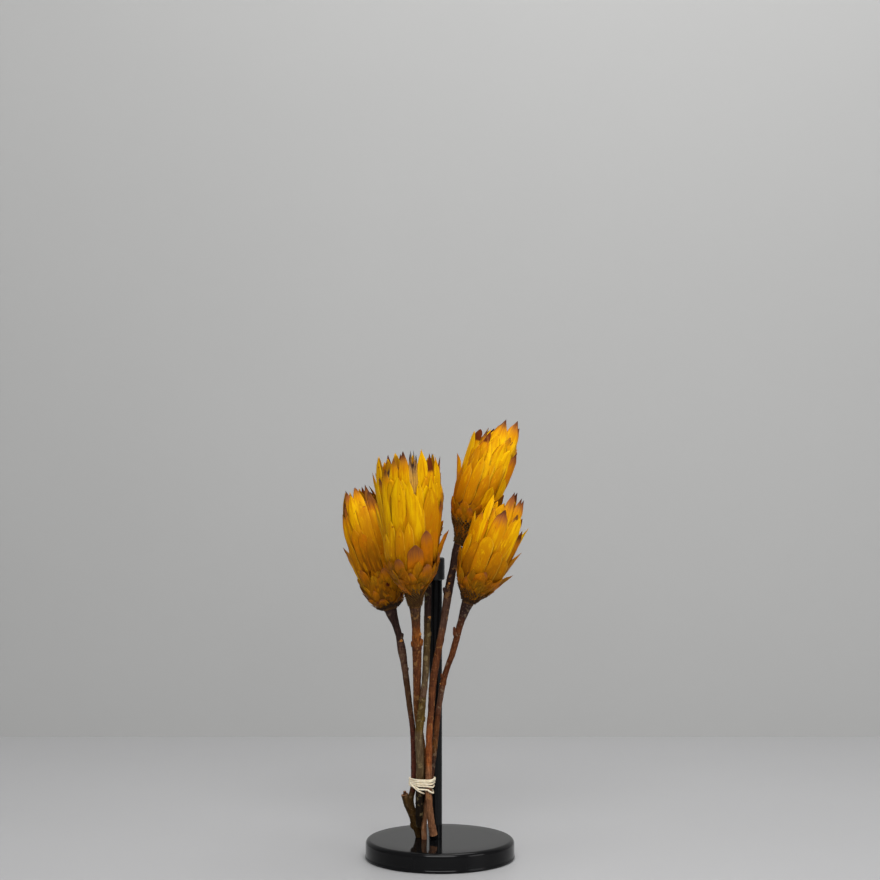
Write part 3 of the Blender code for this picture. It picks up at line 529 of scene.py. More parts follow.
def turnedMesh(name, profile, axis, sides, sharpAngle=35):
    # Spins a profile of (radius, height) round a vertical axis and closes it
    bm = bmesh.new()
    line = [bm.verts.new((radius * mm, 0, height * mm)) for radius, height in profile]
    edges = [bm.edges.new(pair) for pair in zip(line, line[1:])]
    bmesh.ops.spin(bm, geom=line + edges, cent=(0, 0, 0), axis=(0, 0, 1), angle=2 * math.pi, steps=sides,
                   use_merge=True)
    bmesh.ops.remove_doubles(bm, verts=bm.verts, dist=0.000001)
    bmesh.ops.recalc_face_normals(bm, faces=bm.faces)
    bmesh.ops.translate(bm, verts=bm.verts, vec=(axis[0] * mm, axis[1] * mm, 0))
    return meshOf(bm, name, sharpAngle)


def sideFaces(bm, rings):
    # Four-sided faces between each closed ring of points and the next
    faces = []
    for low, high in zip(rings, rings[1:]):
        for side in range(len(low)):
            after = (side + 1) % len(low)
            faces.append(bm.faces.new((low[side], low[after], high[after], high[side])))
    return faces


def meshOf(bm, name, sharpAngle=None):
    mesh = bpy.data.meshes.new(name)
    bm.to_mesh(mesh)
    bm.free()
    mesh.shade_smooth()
    if sharpAngle:
        mesh.set_sharp_from_angle(angle=math.radians(sharpAngle))
    return mesh


def makeDisc():
    s = standSizes
    top, fillet, bead = s["discHeight"], s["discFillet"], s["footBead"]
    rim, foot, side = s["discRadius"] - fillet, s["discRadius"] - bead, s["discRadius"] - s["sideInset"]
    profile = [*[(radius, top) for radius in s["topRings"]],
               *arcPoints(rim - s["sideInset"], top - fillet, fillet, 90, 0, 12),
               (side, top / 2), (side, 2 * bead), *arcPoints(foot, bead, bead, *s["beadArc"], 10),
               *[(radius, 0) for radius in s["footRings"]]]
    mesh = turnedMesh("discFoot", profile, (0, 0), s["discSides"], s["discSharp"])
    mesh.materials.append(skins["paint"])
    finished("discFoot", mesh, "gloss_black_paint", "stand_base")


def makePost():
    s = standSizes
    top, radius, edge, foot = s["postTop"], s["postRadius"], s["postEdge"], s["discHeight"] + s["fitGap"]
    profile = [(0, top), (radius - edge, top), *arcPoints(radius - edge, top - edge, edge, 90, 0, 3),
               *[(radius, height) for height in range(*s["postRings"])], (radius, foot), (0, foot)]
    mesh = turnedMesh("post", profile, s["postAxis"], s["postSides"])
    mesh.materials.append(skins["paint"])
    finished("post", mesh, "gloss_black_paint", "stand_post")


# Stems

# Each stem's slot and the colour and share of its flakes; zones, the heights where its bark changes
# tone; and its route, the points with the radius there, from the foot upwards, as in the part's own source
stems = {
    "left": dict(
        slot="grey_brown_bark", flake=(0.20, 0.13, 0.075), flakeShare=0.35,
        zones=[(15, "heelBrown"), (50, "heelBrown"), (58, "oxblood"), (102, "oxblood"), (118, "walnut"),
               (140, "walnut"), (152, "greyPlum"), (165, "greyPlum"), (174, "umber"), (205, "umber")],
        route=[
            (-19.8, 0.2, 23.5, 3.0), (-22.2, -3.5, 37.0, 3.1), (-23.6, -6.6, 47.0, 2.6),
            (-21.2, -9.5, 58.0, 2.3), (-20.9, -9.6, 72.0, 2.2), (-21.5, -7.2, 100.0, 2.2),
            (-23.7, -5.8, 118.0, 2.2), (-26.7, -3.8, 141.0, 2.5), (-29.0, -1.6, 157.0, 2.8),
            (-30.7, 0.0, 166.5, 3.4), (-32.8, 1.8, 177.0, 2.7), (-35.9, 3.9, 187.0, 3.1),
        ]),
    "centre": dict(
        slot="red_brown_bark", flake=(0.34, 0.17, 0.05), flakeShare=0.45,
        # The black lowest zone is painted shade, where this stem stands deep in the bunch
        zones=[(15, "paintedShadeBlack"), (58, "paintedShadeBlack"), (80, "ochre"), (118, "ochre"), (134, "russet"), (168, "russet"),
               (180, "amber"), (188, "russet"), (196, "walnut"), (205, "umber")],
        route=[
            (-15.0, 9.0, 14.0, 2.7), (-15.3, 5.2, 26.0, 2.6), (-15.2, 1.8, 36.0, 2.6),
            (-14.4, -2.6, 47.0, 2.7), (-13.0, -6.6, 59.0, 2.8), (-13.4, -8.5, 80.0, 2.7),
            (-15.6, -9.9, 100.0, 2.7), (-18.2, -11.4, 118.0, 2.7), (-18.2, -14.2, 142.0, 3.2),
            (-18.2, -18.0, 160.0, 3.5), (-18.3, -21.2, 173.0, 3.9), (-18.8, -24.8, 186.0, 3.4),
        ]),
    "middle": dict(
        slot="grey_brown_bark", flake=(0.24, 0.18, 0.08), flakeShare=0.5,
        # The black lowest zone is painted shade, where this stem stands deep in the bunch
        zones=[(20, "paintedShadeBlack"), (52, "paintedShadeBlack"), (60, "olive"), (74, "lichenGrey"), (98, "lichenGrey"),
               (106, "moss"), (128, "moss"), (134, "greyPlum"), (145, "lichenGrey"), (170, "olive"),
               (184, "olive"), (195, "umber"), (246, "umber")],
        route=[
            (-17.2, -7.6, 26.0, 2.0), (-16.3, -9.0, 36.0, 3.0), (-16.4, -11.2, 46.0, 3.2),
            (-16.0, -13.6, 59.0, 3.3), (-15.8, -15.4, 80.0, 3.3), (-16.6, -16.6, 100.0, 3.3),
            (-14.8, -17.0, 118.0, 3.1), (-13.6, -17.0, 130.0, 2.7), (-12.0, -16.0, 142.0, 2.6),
            (-10.6, -12.6, 166.0, 2.8), (-10.0, -10.2, 190.0, 2.7), (-9.6, -9.6, 214.0, 2.9),
            (-9.7, -9.4, 232.0, 2.9),
        ]),
    "rightTop": dict(
        slot="red_brown_bark", flake=(0.42, 0.20, 0.06), flakeShare=0.35,
        zones=[(15, "clay"), (38, "clay"), (54, "clay"), (68, "clay"), (78, "rust"), (100, "rust"),
               (116, "russet"), (174, "russet"), (186, "greyPlum"), (204, "greyPlum"), (214, "umber"),
               (252, "umber")],
        route=[
            (-5.1, -10.0, 20.0, 3.1), (-6.7, -11.8, 29.0, 2.9), (-8.2, -13.4, 41.0, 2.7),
            (-9.4, -15.3, 59.0, 2.6), (-8.8, -16.2, 73.0, 2.5), (-8.6, -16.2, 100.0, 2.6),
            (-7.2, -15.6, 118.0, 2.6), (-5.6, -14.2, 142.0, 2.9), (-1.4, -12.2, 166.0, 2.8),
            (3.1, -9.8, 190.0, 2.9), (6.8, -8.0, 214.0, 3.4), (10.4, -6.4, 232.0, 3.1),
        ]),
    "rightLow": dict(
        slot="red_brown_bark", flake=(0.26, 0.18, 0.11), flakeShare=0.4,
        zones=[(15, "clay"), (48, "clay"), (60, "russet"), (76, "umber"), (90, "ochre"), (112, "russet"),
               (130, "greyPlum"), (142, "russet"), (184, "russet"), (195, "umber"), (206, "umber")],
        route=[
            (-12.6, -4.8, 14.0, 2.2), (-12.8, -4.6, 25.0, 2.2), (-12.0, -5.0, 36.0, 2.2),
            (-10.3, -6.9, 47.0, 2.2), (-8.3, -9.4, 59.0, 2.3), (-6.3, -9.9, 73.0, 2.2),
            (-3.2, -9.9, 100.0, 2.3), (-1.4, -10.4, 118.0, 2.2), (2.6, -12.6, 142.0, 2.3),
            (6.6, -15.4, 156.0, 2.3), (10.4, -18.0, 167.0, 2.5), (15.8, -22.0, 188.0, 2.7),
        ]),
}
# The stump of older wood at the left stem's foot, and the broken stub beside it
heelRoute = [
    (-28.2, -6.6, 51.5, 2.8), (-25.2, -5.2, 43.5, 3.6), (-21.5, -3.0, 34.5, 3.6),
    (-18.9, -0.4, 26.0, 3.4), (-16.2, 3.4, 13.0, 2.6),
]
heelStub = [(-27.2, -6.2, 48.5, 1.9), (-28.0, -6.7, 52.5, 1.5), (-28.3, -7.0, 54.2, 1.1)]
# Buds: height, direction round the stem in degrees, length, radius at the root, rise for each part outwards
buds = {
    "left": [(176.5, 350, 3.2, 1.8, 1.6), (150.0, 20, 2.6, 1.4, 1.6), (25.0, 200, 3.4, 1.9, 1.2)],
    "centre": [(172.0, 195, 4.0, 2.4, 1.6), (173.0, 345, 4.8, 2.6, 1.6), (178.0, 265, 3.0, 1.8, 1.6)],
    "middle": [(190.0, 280, 3.4, 2.0, 1.6), (179.0, 330, 3.2, 1.8, 1.6), (128.0, 235, 3.6, 2.2, 1.6),
               (112.0, 350, 3.6, 1.8, 1.6)],
    "rightTop": [(213.0, 200, 4.4, 2.2, 1.6), (196.0, 60, 3.2, 1.8, 1.6), (150.0, 250, 2.8, 1.5, 1.6)],
    "rightLow": [(180.0, 210, 7.0, 2.1, 4.0), (146.0, 190, 3.2, 1.8, 1.6), (140.0, 10, 2.6, 1.4, 1.6),
                 (100.0, 250, 2.6, 1.4, 1.6)],
}
# Leaf scars and broken bud ends: height, direction, radius
scars = {
    "left": [(172.5, 288, 1.2)],
    "centre": [(180.5, 338, 1.9), (168.0, 282, 1.0)],
    "middle": [(192.5, 308, 1.5)],
    "rightTop": [(219.0, 262, 1.1)],
    "rightLow": [(140.0, 205, 0.9)],
}
# neckPoints: how far below the neck a stem's last points lie, and their shares of the neck's radius
barkSizes = dict(
    ringSpacing=0.8, sides=24, groove=0.28, knob=0.85, wartSize=0.38, wartsPerSquareMetre=24000,
    neckPoints=[(5, 0.8), (0.2, 0.95)], routeSpacing=3.0, heelSpacing=2.0, stubSpacing=1.0, aboveDisc=0.05,
    budSink=0.55, budSides=8, scarSink=0.5, scarLength=1.1, scarRise=0.35,
)
# A bud's rings: shares of its length, and of its root's radius
budRings = ((-0.15, 1.0), (0.15, 1.12), (0.45, 0.86), (0.75, 0.62), (0.95, 0.34))


def smoothRoute(points, spacing):
    # Points along a Catmull-Rom curve through the route's own points; each keeps its radius
    padded = [points[0], *points, points[-1]]
    route = []
    for before, start, end, after in zip(padded, padded[1:], padded[2:], padded[3:]):
        steps = max(1, round(math.dist(start[:3], end[:3]) / spacing))
        for step in range(steps):
            t = step / steps
            route.append(tuple(
                b + ((c - a) * t + (2 * a - 5 * b + 4 * c - d) * t**2 + (3 * b - a - 3 * c + d) * t**3) / 2
                for a, b, c, d in zip(before, start, end, after)
            ))
    route.append(points[-1])
    return route


def atHeight(route, height):
    # The route's point and radius at a height
    for low, high in zip(route, route[1:]):
        if low[2] <= height <= high[2]:
            share = (height - low[2]) / (high[2] - low[2])
            return tuple(a + (b - a) * share for a, b in zip(low, high))
    return route[0] if height < route[0][2] else route[-1]


def makeBarkTree():
    # A tube along a curve with grooves along it, knobs and small warts
    tree, wires, given, result = newTree("growBark", "GeometryNodeTree", [
        ("Geometry", "Geometry"), ("Spacing", "Float", 0.001), ("Sides", "Int", 20),
        ("Groove", "Float", 0.0002), ("Knob", "Float", 0.0004), ("Wart size", "Float", 0.0003),
        ("Warts", "Float", 20000.0), ("Seed", "Int", 1), ("Skin", "Material"),
    ], [("Geometry", "Geometry")])
    line = wires.add("GeometryNodeResampleCurve", {"Curve": given["Geometry"], "Length": given["Spacing"]},
                     mode="LENGTH")
    ring = wires.add("GeometryNodeCurvePrimitiveCircle", {"Resolution": given["Sides"], "Radius": 1.0})
    radius = wires.add("GeometryNodeInputRadius").outputs[0]
    tube = wires.add("GeometryNodeCurveToMesh", {"Curve": line.outputs[0], "Profile Curve": ring.outputs[0],
                                                 "Scale": radius, "Fill Caps": True}).outputs[0]
    place = wires.add("GeometryNodeInputPosition").outputs[0]
    normal = wires.add("GeometryNodeInputNormal").outputs[0]
    moved = wires.vectors("ADD", place, wires.joined(wires.times(given["Seed"], 0.37), 0.0, 0.0))
    grooves = wires.minus(wires.noise(scaled(wires, moved, 1.0, 1.0, 0.10), 750.0, 2.0), 0.5)
    knobs = wires.minus(wires.noise(scaled(wires, moved, 1.0, 1.0, 0.6), 210.0, 3.0, 0.6), 0.5)
    rings = wires.minus(wires.noise(scaled(wires, moved, 0.05, 0.05, 1.0), 520.0, 3.0, 0.6), 0.5)
    height = wires.plus(wires.times(grooves, given["Groove"]),
                        wires.times(wires.plus(knobs, wires.times(rings, 0.5)), given["Knob"]))
    offset = wires.vectors("SCALE", normal, height)
    rough = wires.add("GeometryNodeSetPosition", {"Geometry": tube, "Offset": offset}).outputs[0]
    spread = wires.add("GeometryNodeDistributePointsOnFaces", {"Mesh": rough, "Density": given["Warts"],
                                                               "Seed": given["Seed"]})
    ball = wires.add("GeometryNodeMeshIcoSphere", {"Radius": 1.0, "Subdivisions": 2}).outputs[0]
    drawn = wires.add("FunctionNodeRandomValue", {"Seed": given["Seed"]}, data_type="FLOAT")
    for socket, value in zip(live(drawn.inputs), (0.35, 1.0)):
        wires.feed(socket, value)
    size = wires.times(live(drawn.outputs)[0], given["Wart size"])
    warts = wires.add("GeometryNodeInstanceOnPoints", {
        "Points": spread.outputs["Points"], "Instance": ball, "Rotation": spread.outputs["Rotation"],
        "Scale": wires.joined(size, wires.times(size, 1.5), wires.times(size, 0.5)),
    }).outputs[0]
    marked = wires.add("GeometryNodeStoreNamedAttribute", {"Geometry": warts, "Name": "wart", "Value": 1.0},
                       data_type="FLOAT", domain="INSTANCE").outputs[0]
    both = wires.add("GeometryNodeJoinGeometry")
    for part in (rough, marked):
        wires.tree.links.new(part, both.inputs[0])
    real = wires.add("GeometryNodeRealizeInstances", {"Geometry": both.outputs[0]}).outputs[0]
    smooth = wires.add("GeometryNodeSetShadeSmooth", {"Geometry": real}).outputs[0]
    skinned = wires.add("GeometryNodeSetMaterial", {"Geometry": smooth, "Material": given["Skin"]}).outputs[0]
    wires.feed(result["Geometry"], skinned)
    return tree


def curveOf(name, route, cyclic=False):
    curve = bpy.data.curves.new(name, "CURVE")
    curve.dimensions = "3D"
    spline = curve.splines.new("POLY")
    spline.points.add(len(route) - 1)
    for point, (x, y, z, radius) in zip(spline.points, route):
        point.co = (x * mm, y * mm, z * mm, 1)
        point.radius = radius * mm
    spline.use_cyclic_u = cyclic
    return linked(name, curve)


def budShape(bm, centre, aim, length, radius, skinIndex):
    # A blunt bud with a swollen root, sunk into the stem
    turn, sides = aim.to_track_quat("Z", "Y").to_matrix(), barkSizes["budSides"]
    rings = []
    for share, width in budRings:
        ring = []
        for side in range(sides):
            angle = 2 * math.pi * side / sides
            place = Vector((math.cos(angle) * radius * width, math.sin(angle) * radius * width,
                            length * share))
            ring.append(bm.verts.new((centre + turn @ place) * mm))
        rings.append(ring)
    for face in [bm.faces.new(rings[0][::-1]), bm.faces.new(rings[-1]), *sideFaces(bm, rings)]:
        face.smooth = True
        face.material_index = skinIndex


def cutFoot(bm, level):
    # Cuts what goes below the disc's top, and fills the cut
    cut = bmesh.ops.bisect_plane(bm, geom=bm.verts[:] + bm.edges[:] + bm.faces[:], dist=0.0000001,
                                 plane_co=(0, 0, level), plane_no=(0, 0, -1), clear_outer=True)
    rim = [item for item in cut["geom_cut"] if isinstance(item, bmesh.types.BMEdge)]
    if rim:
        bmesh.ops.holes_fill(bm, edges=rim, sides=0)


barkTree = makeBarkTree()


def barkMesh(name, route, skin, seed):
    s = barkSizes
    return grow(curveOf(name, route), barkTree, {
        "Spacing": s["ringSpacing"] * mm, "Sides": s["sides"], "Groove": s["groove"] * mm,
        "Knob": s["knob"] * mm, "Wart size": s["wartSize"] * mm, "Warts": float(s["wartsPerSquareMetre"]),
        "Seed": seed, "Skin": skin,
    })


def makeStem(name, axes, neckRadius, seed):
    # A stem with its buds and scars, cut level at its foot. Its route is kept for the tie and the clip
    stem, s = stems[name], barkSizes
    skin = makeBark("bark_" + name, stem["zones"], stem["flake"], stem["flakeShare"])
    neck = [(*(axes["neck"] - axes["up"] * below), neckRadius * share) for below, share in s["neckPoints"]]
    route = smoothRoute([*stem["route"], *neck], s["routeSpacing"])
    bm = bmesh.new()
    bm.from_mesh(barkMesh(name, route, skin, seed))
    if name == "left":
        bm.from_mesh(barkMesh("heel", smoothRoute(heelRoute, s["heelSpacing"]), skin, seed + 20))
        bm.from_mesh(barkMesh("stub", smoothRoute(heelStub, s["stubSpacing"]), skin, seed + 30))
    for face in bm.faces:
        isEnd = len(face.verts) == s["sides"]
        face.material_index = 2 if isEnd else 0
        face.smooth = not isEnd
    cutFoot(bm, (standSizes["discHeight"] + s["aboveDisc"]) * mm)

    def onStem(height, direction):
        # The stem's middle at a height, its radius there, and the level way out in a direction
        x, y, z, radius = atHeight(route, height)
        angle = math.radians(direction)
        return Vector((x, y, z)), radius, Vector((math.cos(angle), math.sin(angle), 0))

    for height, direction, length, radius, rise in buds[name]:
        centre, stemRadius, out = onStem(height, direction)
        aim = (out + Vector((0, 0, rise))).normalized()
        budShape(bm, centre + out * stemRadius * s["budSink"], aim, length, radius, 0)
    for height, direction, radius in scars[name]:
        centre, stemRadius, out = onStem(height, direction)
        aim = (out + Vector((0, 0, s["scarRise"]))).normalized()
        budShape(bm, centre + aim * (stemRadius - s["scarSink"]), aim, s["scarLength"], radius, 1)
    mesh = bpy.data.meshes.new("wood_" + name)
    bm.to_mesh(mesh)
    bm.free()
    for each in (skin, skins["scar"], skins["cutWood"]):
        mesh.materials.append(each)
    finished("wood_" + name, mesh, stem["slot"], "stem_" + name)
    return route


# Flower heads. Axes and outlines are as in the part's own source, and the leads close to its own. Along
# each head's axis, from its neck: cup is the floor of its bowl, floretTop the florets' height and coneTop
# where the cone of small grains ends. mouth and crown are the florets' radius at the floor and at their
# tops. grainTone lightens the grains' ends, dull makes a whole head browner and darker (partly its own
# colour, partly painted shade for a head that stands less in the light), rim shortens the bracts of
# the spiral, and tileTone shifts the scales' tone. gap is a side offset, and a height above which no
# bract closes the front, so that the florets show; tuft is the two rows of florets that fill it.
# A lead is a bract placed one by one: side offset, tip height, facing (1 front, -1 back, 0 edge), flare,
# width and length; then its looks: dark tip (above 2 the dark inner face shows), curl, shape (0 pointed,
# 1 rounded, 2 an arch), tone and, in some, twist.
heads = {
    "left": dict(
        neck=(-39.6, 5.5, 197.4), top=(-68.0, 20.0, 295.9), seed=11, scales=14, bracts=34, width=11.2,
        outline=[(0, 5.2), (5, 11.5), (11, 15.0), (23, 18.2), (48, 20.5), (74, 20.0), (94, 13.0), (104, 8.0)],
        cup=62.0, mouth=13.6, crown=10.2, floretTop=90.0,
        coneTop=2.5, grains=90, grainTone=0.0, dull=0.10, rim=1.0, tileTone=-1.4,
        leads=[
            (-16.4, 85.0, 0, 0.2, 9.0, 62, 0.6, 0, 0, -0.3),
            (-22.3, 58.4, 0, 3.0, 10.5, 42, 1.0, 1.0, 0, -2.6), (-12.8, 93.0, 1, 0, 7.0, 62, 1.35, 0, 0, 0.1),
            (-8.5, 102.8, 1, 0, 8.0, 64, 1.2, 0, 0, 0), (-7.2, 96.7, 1, 1.2, 13.0, 68, 0.2, 0, 0.1, -0.3),
            (-0.4, 102.1, 1, 0.2, 10.0, 68, 0.6, 0, 0.4, 0.0), (4.2, 103.5, -1, 0, 6.0, 50, 1.2, 0, 0, 0),
            (7.6, 103.0, 1, 0, 7.5, 62, 1.8, 0, 0, 0.3), (9.0, 97.0, 1, 0.8, 8.5, 60, 1.6, 0, 0.1, 0.3),
            (14.5, 86.0, 1, 0.5, 9.0, 60, 0.3, 0, 0, 0.3), (-10.6, 69.9, 1, 0.6, 8.5, 38, 0, 0, 0, 0.2),
            (-5.6, 65.2, 1, 0.8, 9.0, 34, 0.1, 0, 0, 0.4), (-0.9, 59.6, 1, 0.6, 8.0, 32, 0, 0, 0, 0.1),
            (-17.1, 60.0, 1, 0.4, 7.0, 34, 0, 0, 0, -0.3), (-7.1, 29.0, 1, 1.0, 12.0, 22, 0, 0, 2.0, -1.2),
            (-1.7, 17.0, 1, 1.0, 11.0, 15, 0, 0, 2.0, -0.8),
        ],
    ),
    "centre": dict(
        neck=(-19.5, -29.0, 202.7), top=(-25.5, -43.0, 323.0), seed=5, scales=14, bracts=38, width=11.8,
        outline=[(0, 5.0), (7, 6.3), (13, 8.2), (19, 12.6), (26, 18.4), (46, 22.6), (65, 24.3), (88, 26.0),
                 (111, 26.2), (123, 25.0)],
        cup=74.0, mouth=17.8, crown=18.4, floretTop=117.0,
        coneTop=15.0, grains=310, grainTone=0.0, dull=-0.02, rim=1.0, tileTone=-0.1, gap=(4.9, 92.0),
        leads=[
            (-27.7, 108.4, 0, 1.5, 7.5, 64, 0.5, 0, 0, -0.6),
            (-27.3, 84.0, 0, 1.2, 7.5, 62, 0.15, 0, 0, -0.8), (-22.4, 121.4, 1, 0, 8.0, 68, 0.2, 0, 0, -0.6),
            (-17.0, 113.0, 1, 0.3, 9.5, 72, 0.7, 0, 0.1, -0.7),
            (-15.2, 119.0, -1, 0, 8.5, 66, 0.9, 0, 0, 0.3),
            (-10.5, 121.3, 1, -1.0, 9.5, 70, 0.6, 0, 0.2, -0.3),
            (-6.1, 118.5, -1, 0, 8.0, 66, 0.8, 0, 0, 0.2), (-2.6, 126.5, 1, -1.1, 9.5, 74, 0.9, 0, 0.1, 0.2),
            (-8.1, 107.3, 1, 0.7, 13.5, 74, 0.1, 0, 0.1, -0.7),
            (12.0, 127.0, 1, -1.2, 10.0, 74, 0.1, 0, 0, -0.45),
            (17.0, 123.0, 1, -1.0, 6.5, 40, 2.75, 0, 0, 0.4, 0.2),
            (19.4, 119.0, -1, 0, 6.0, 50, 1.2, 0, 0, 0), (22.2, 119.7, 1, 0, 8.0, 66, 0.3, 0, 0, -0.4),
            (18.0, 106.0, 1, 0.4, 9.0, 68, 0.1, 0, 0, -0.2), (24.9, 87.0, 0, 0.2, 8.0, 60, 1.3, 0, 0, 0.2),
            (16.0, 96.2, 1, 1.4, 14.5, 60, 0, 0, 0.5, 0.45), (4.6, 93.5, 1, -0.9, 12.0, 62, 0, 0, 0.2, -0.8),
            (1.1, 104.0, 1, -0.2, 7.5, 56, 0.1, 0, 0.2, -0.4),
            (8.7, 103.0, 1, -0.2, 7.0, 56, 0, 0, 0.1, -0.8), (-9.0, 69.0, 1, -0.2, 8.0, 44, 0.1, 0, 0, -0.6),
            (-15.6, 74.0, 1, 0.6, 8.5, 48, 0.1, 0, 0, -1.2), (-2.0, 72.0, 1, -0.6, 8.5, 50, 0, 0, 0, -0.8),
            (11.7, 64.3, 1, 1.5, 10.5, 40, 1.0, 0.5, 0.45, 0.8),
            (2.3, 53.8, 1, 1.8, 13.0, 36, 1.3, 0.5, 0.3, 1.4),
            (-9.9, 42.8, 1, 1.5, 9.0, 24, 1.1, 0.4, 0.45, 0), (11.3, 37.5, 1, 1.5, 8.5, 22, 1.0, 0.3, 0.4, 0),
            (20.2, 44.4, 1, 1.0, 7.5, 28, 0.9, 0.3, 0.2, 0.2),
            (29.3, 60.5, 0, 5.4, 8.0, 34, 0.9, 0.5, 0, -0.4), (-19.4, 62.0, 1, 1.0, 9.0, 38, 0, 0, 0.2, -1.5),
            (-21.6, 38.0, 1, 1.2, 8.0, 24, 0.2, 0.3, 0.1, 0.1),
        ],
        tuft=dict(side=(1.4, 7.8), heights=(117.0, 127.0), radius=23.6, count=14, rowGap=1.3, lean=2.5),
    ),
    "middle": dict(
        neck=(-10.0, -7.6, 246.0), top=(-13.0, 27.0, 314.0), seed=8, scales=6, bracts=22, width=9.2,
        outline=[(0, 3.8), (6, 6.5), (13, 11.0), (27, 15.8), (48, 15.8), (66, 9.5), (76, 6.0)],
        cup=46.0, mouth=10.4, crown=7.5, floretTop=64.0,
        coneTop=7.0, grains=110, grainTone=0.0, dull=0.05, rim=1.0, tileTone=0.0, leads=[],
    ),
    "rightTop": dict(
        neck=(14.9, -5.0, 250.2), top=(54.3, 3.0, 349.0), seed=21, scales=12, bracts=32, width=11.4,
        outline=[(0, 4.3), (6, 5.6), (12, 8.6), (17, 12.4), (28, 17.5), (42, 20.2), (60, 20.6), (85, 18.5),
                 (104, 10.5), (110, 8.0)],
        cup=64.0, mouth=13.3, crown=10.0, floretTop=92.0,
        coneTop=19.0, grains=380, grainTone=0.9, dull=0.0, rim=0.95, tileTone=-0.4,
        leads=[
            (-28.0, 68.3, 0, 7.8, 8.0, 38, 0.5, 0.5, 0, -0.6),
            (-20.6, 89.0, 1, 4.2, 11.5, 62, 0, 1.0, 0.7, -1.1),
            (-17.8, 92.2, 1, 3.0, 9.5, 30, 2.9, 0, 1.0, -0.3), (-9.8, 93.5, 1, -0.3, 5.0, 34, 2.9, 0, 0, 0),
            (-2.4, 106.0, 1, 0.8, 13.5, 70, 0.8, 1.0, 0, -0.7),
            (7.2, 109.4, 1, 0.4, 12.0, 68, 1.0, 0, 0, -0.6), (11.0, 104.5, 0, 1.0, 7.0, 60, 0.9, 0, 0.2, 0.2),
            (16.3, 84.4, 1, 2.0, 8.0, 48, 1.3, 0, 0, 0.4), (15.4, 61.5, 1, 4.6, 7.0, 38, 0.2, 0, 0, -2.2),
            (7.4, 51.7, 1, 4.2, 7.5, 28, 0, 0, 0, -2.4), (-19.5, 60.0, 1, 1.5, 8.0, 38, 0.2, 0, 0, 0.1),
            (-7.0, 72.0, 1, 0.3, 9.0, 48, 0, 0, 0.1, -0.6), (8.5, 72.0, 1, 0.2, 8.5, 46, 0, 0, 0, -0.3),
            (-14.5, 64.0, 1, 0.3, 9.0, 44, 0, 0, 0, -0.3), (1.5, 60.0, 1, 0.2, 8.5, 40, 0, 0, 0, -0.2),
        ],
    ),
    "rightLow": dict(
        neck=(21.7, -25.0, 205.7), top=(58.4, -32.5, 296.0), seed=34, scales=12, bracts=30, width=11.0,
        outline=[(0, 5.0), (6, 8.0), (10, 11.5), (16, 15.5), (24, 18.5), (36, 20.2), (60, 19.5), (76, 16.0),
                 (92, 8.5), (98, 6.0)],
        cup=58.0, mouth=12.4, crown=8.0, floretTop=82.0,
        coneTop=10.5, grains=200, grainTone=-0.5, dull=0.03, rim=0.92, tileTone=-0.4,
        leads=[
            (1.4, 95.7, 1, 0, 8.0, 62, 1.3, 0, 0, 0.2), (4.3, 95.0, -1, 0, 7.0, 60, 1.2, 0, 0, 0.3),
            (9.6, 92.2, 0, 1.4, 8.0, 60, 1.1, 0, 0, -0.5), (7.3, 93.1, 1, 0.2, 8.0, 62, 1.0, 0, 0, 0.1),
            (-1.3, 80.8, 1, 0.9, 13.0, 60, 1.15, 0, 0.2, 0.0),
            (-21.6, 70.0, 0, 4.2, 7.0, 46, 0.1, 0.5, 0, -0.2),
            (-16.2, 72.5, 1, 2.0, 9.5, 46, 0.5, 0, 0.1, -0.1),
            (21.2, 74.0, 0, 5.4, 7.5, 44, 0.15, 0.8, 0, -1.0), (18.0, 70.0, 1, 2.0, 7.0, 40, 2.4, 0, 0, 0.5),
            (12.0, 80.0, 1, 1.0, 9.0, 50, 0.2, 0, 0, -0.8), (22.9, 53.8, 0, 4.0, 9.0, 34, 0.3, 1.0, 0, -0.2),
            (24.0, 34.3, 0, 4.1, 9.5, 26, 0.2, 1.0, 0, -0.4), (-22.2, 41.0, 0, 2.4, 7.5, 28, 0, 0.5, 0, -0.3),
            (-4.3, 57.5, 1, 1.3, 12.5, 34, 0, 0, 0.5, -0.9), (6.5, 50.0, 1, 1.4, 10.0, 30, 0.1, 0, 0.3, -0.3),
            (-18.7, 53.3, 1, 1.5, 8.0, 34, 0, 0, 0.3, -1.3), (-13.2, 88.4, 1, 5.0, 6.5, 48, 0, 0, 0, -1.2),
            (-12.9, 50.0, 1, 0.6, 9.0, 34, 0.1, 0, 0.2, 0.1),
            (13.6, 44.8, 1, 1.0, 10.5, 27, 0, 0.3, 0.2, -0.5),
        ],
    ),
}
bractRule = dict(
    lowestRoot=2.0, rootBelowCup=4.0, rootSink=1.6, layerDepth=0.07, flareShare=0.15, narrowestTip=1.5,
    coreInset=(0.6, 3.4), coreGrowth=1.5, leadTurn=0.5, leadRootShare=0.8, leadWidths=0.55, leadRise=11.0,
    scaleTips=(0.07, 0.16), scaleLengths=(9.0, 5.0), scaleWidth=0.8, widths=(0.88, 0.16),
    shortest=15.0, longest=0.62, lengthGrowth=0.85, lowShare=0.30, lowTips=(0.20, 0.36),
    highTips=(0.80, 0.985), spiralFlare=0.6, frontRim=0.86, skirt=0.38, overCone=1.5,
    coverWidths=0.36, coverLength=0.8, coverRise=3, gapFront=0.3, gapWidths=0.6,
)
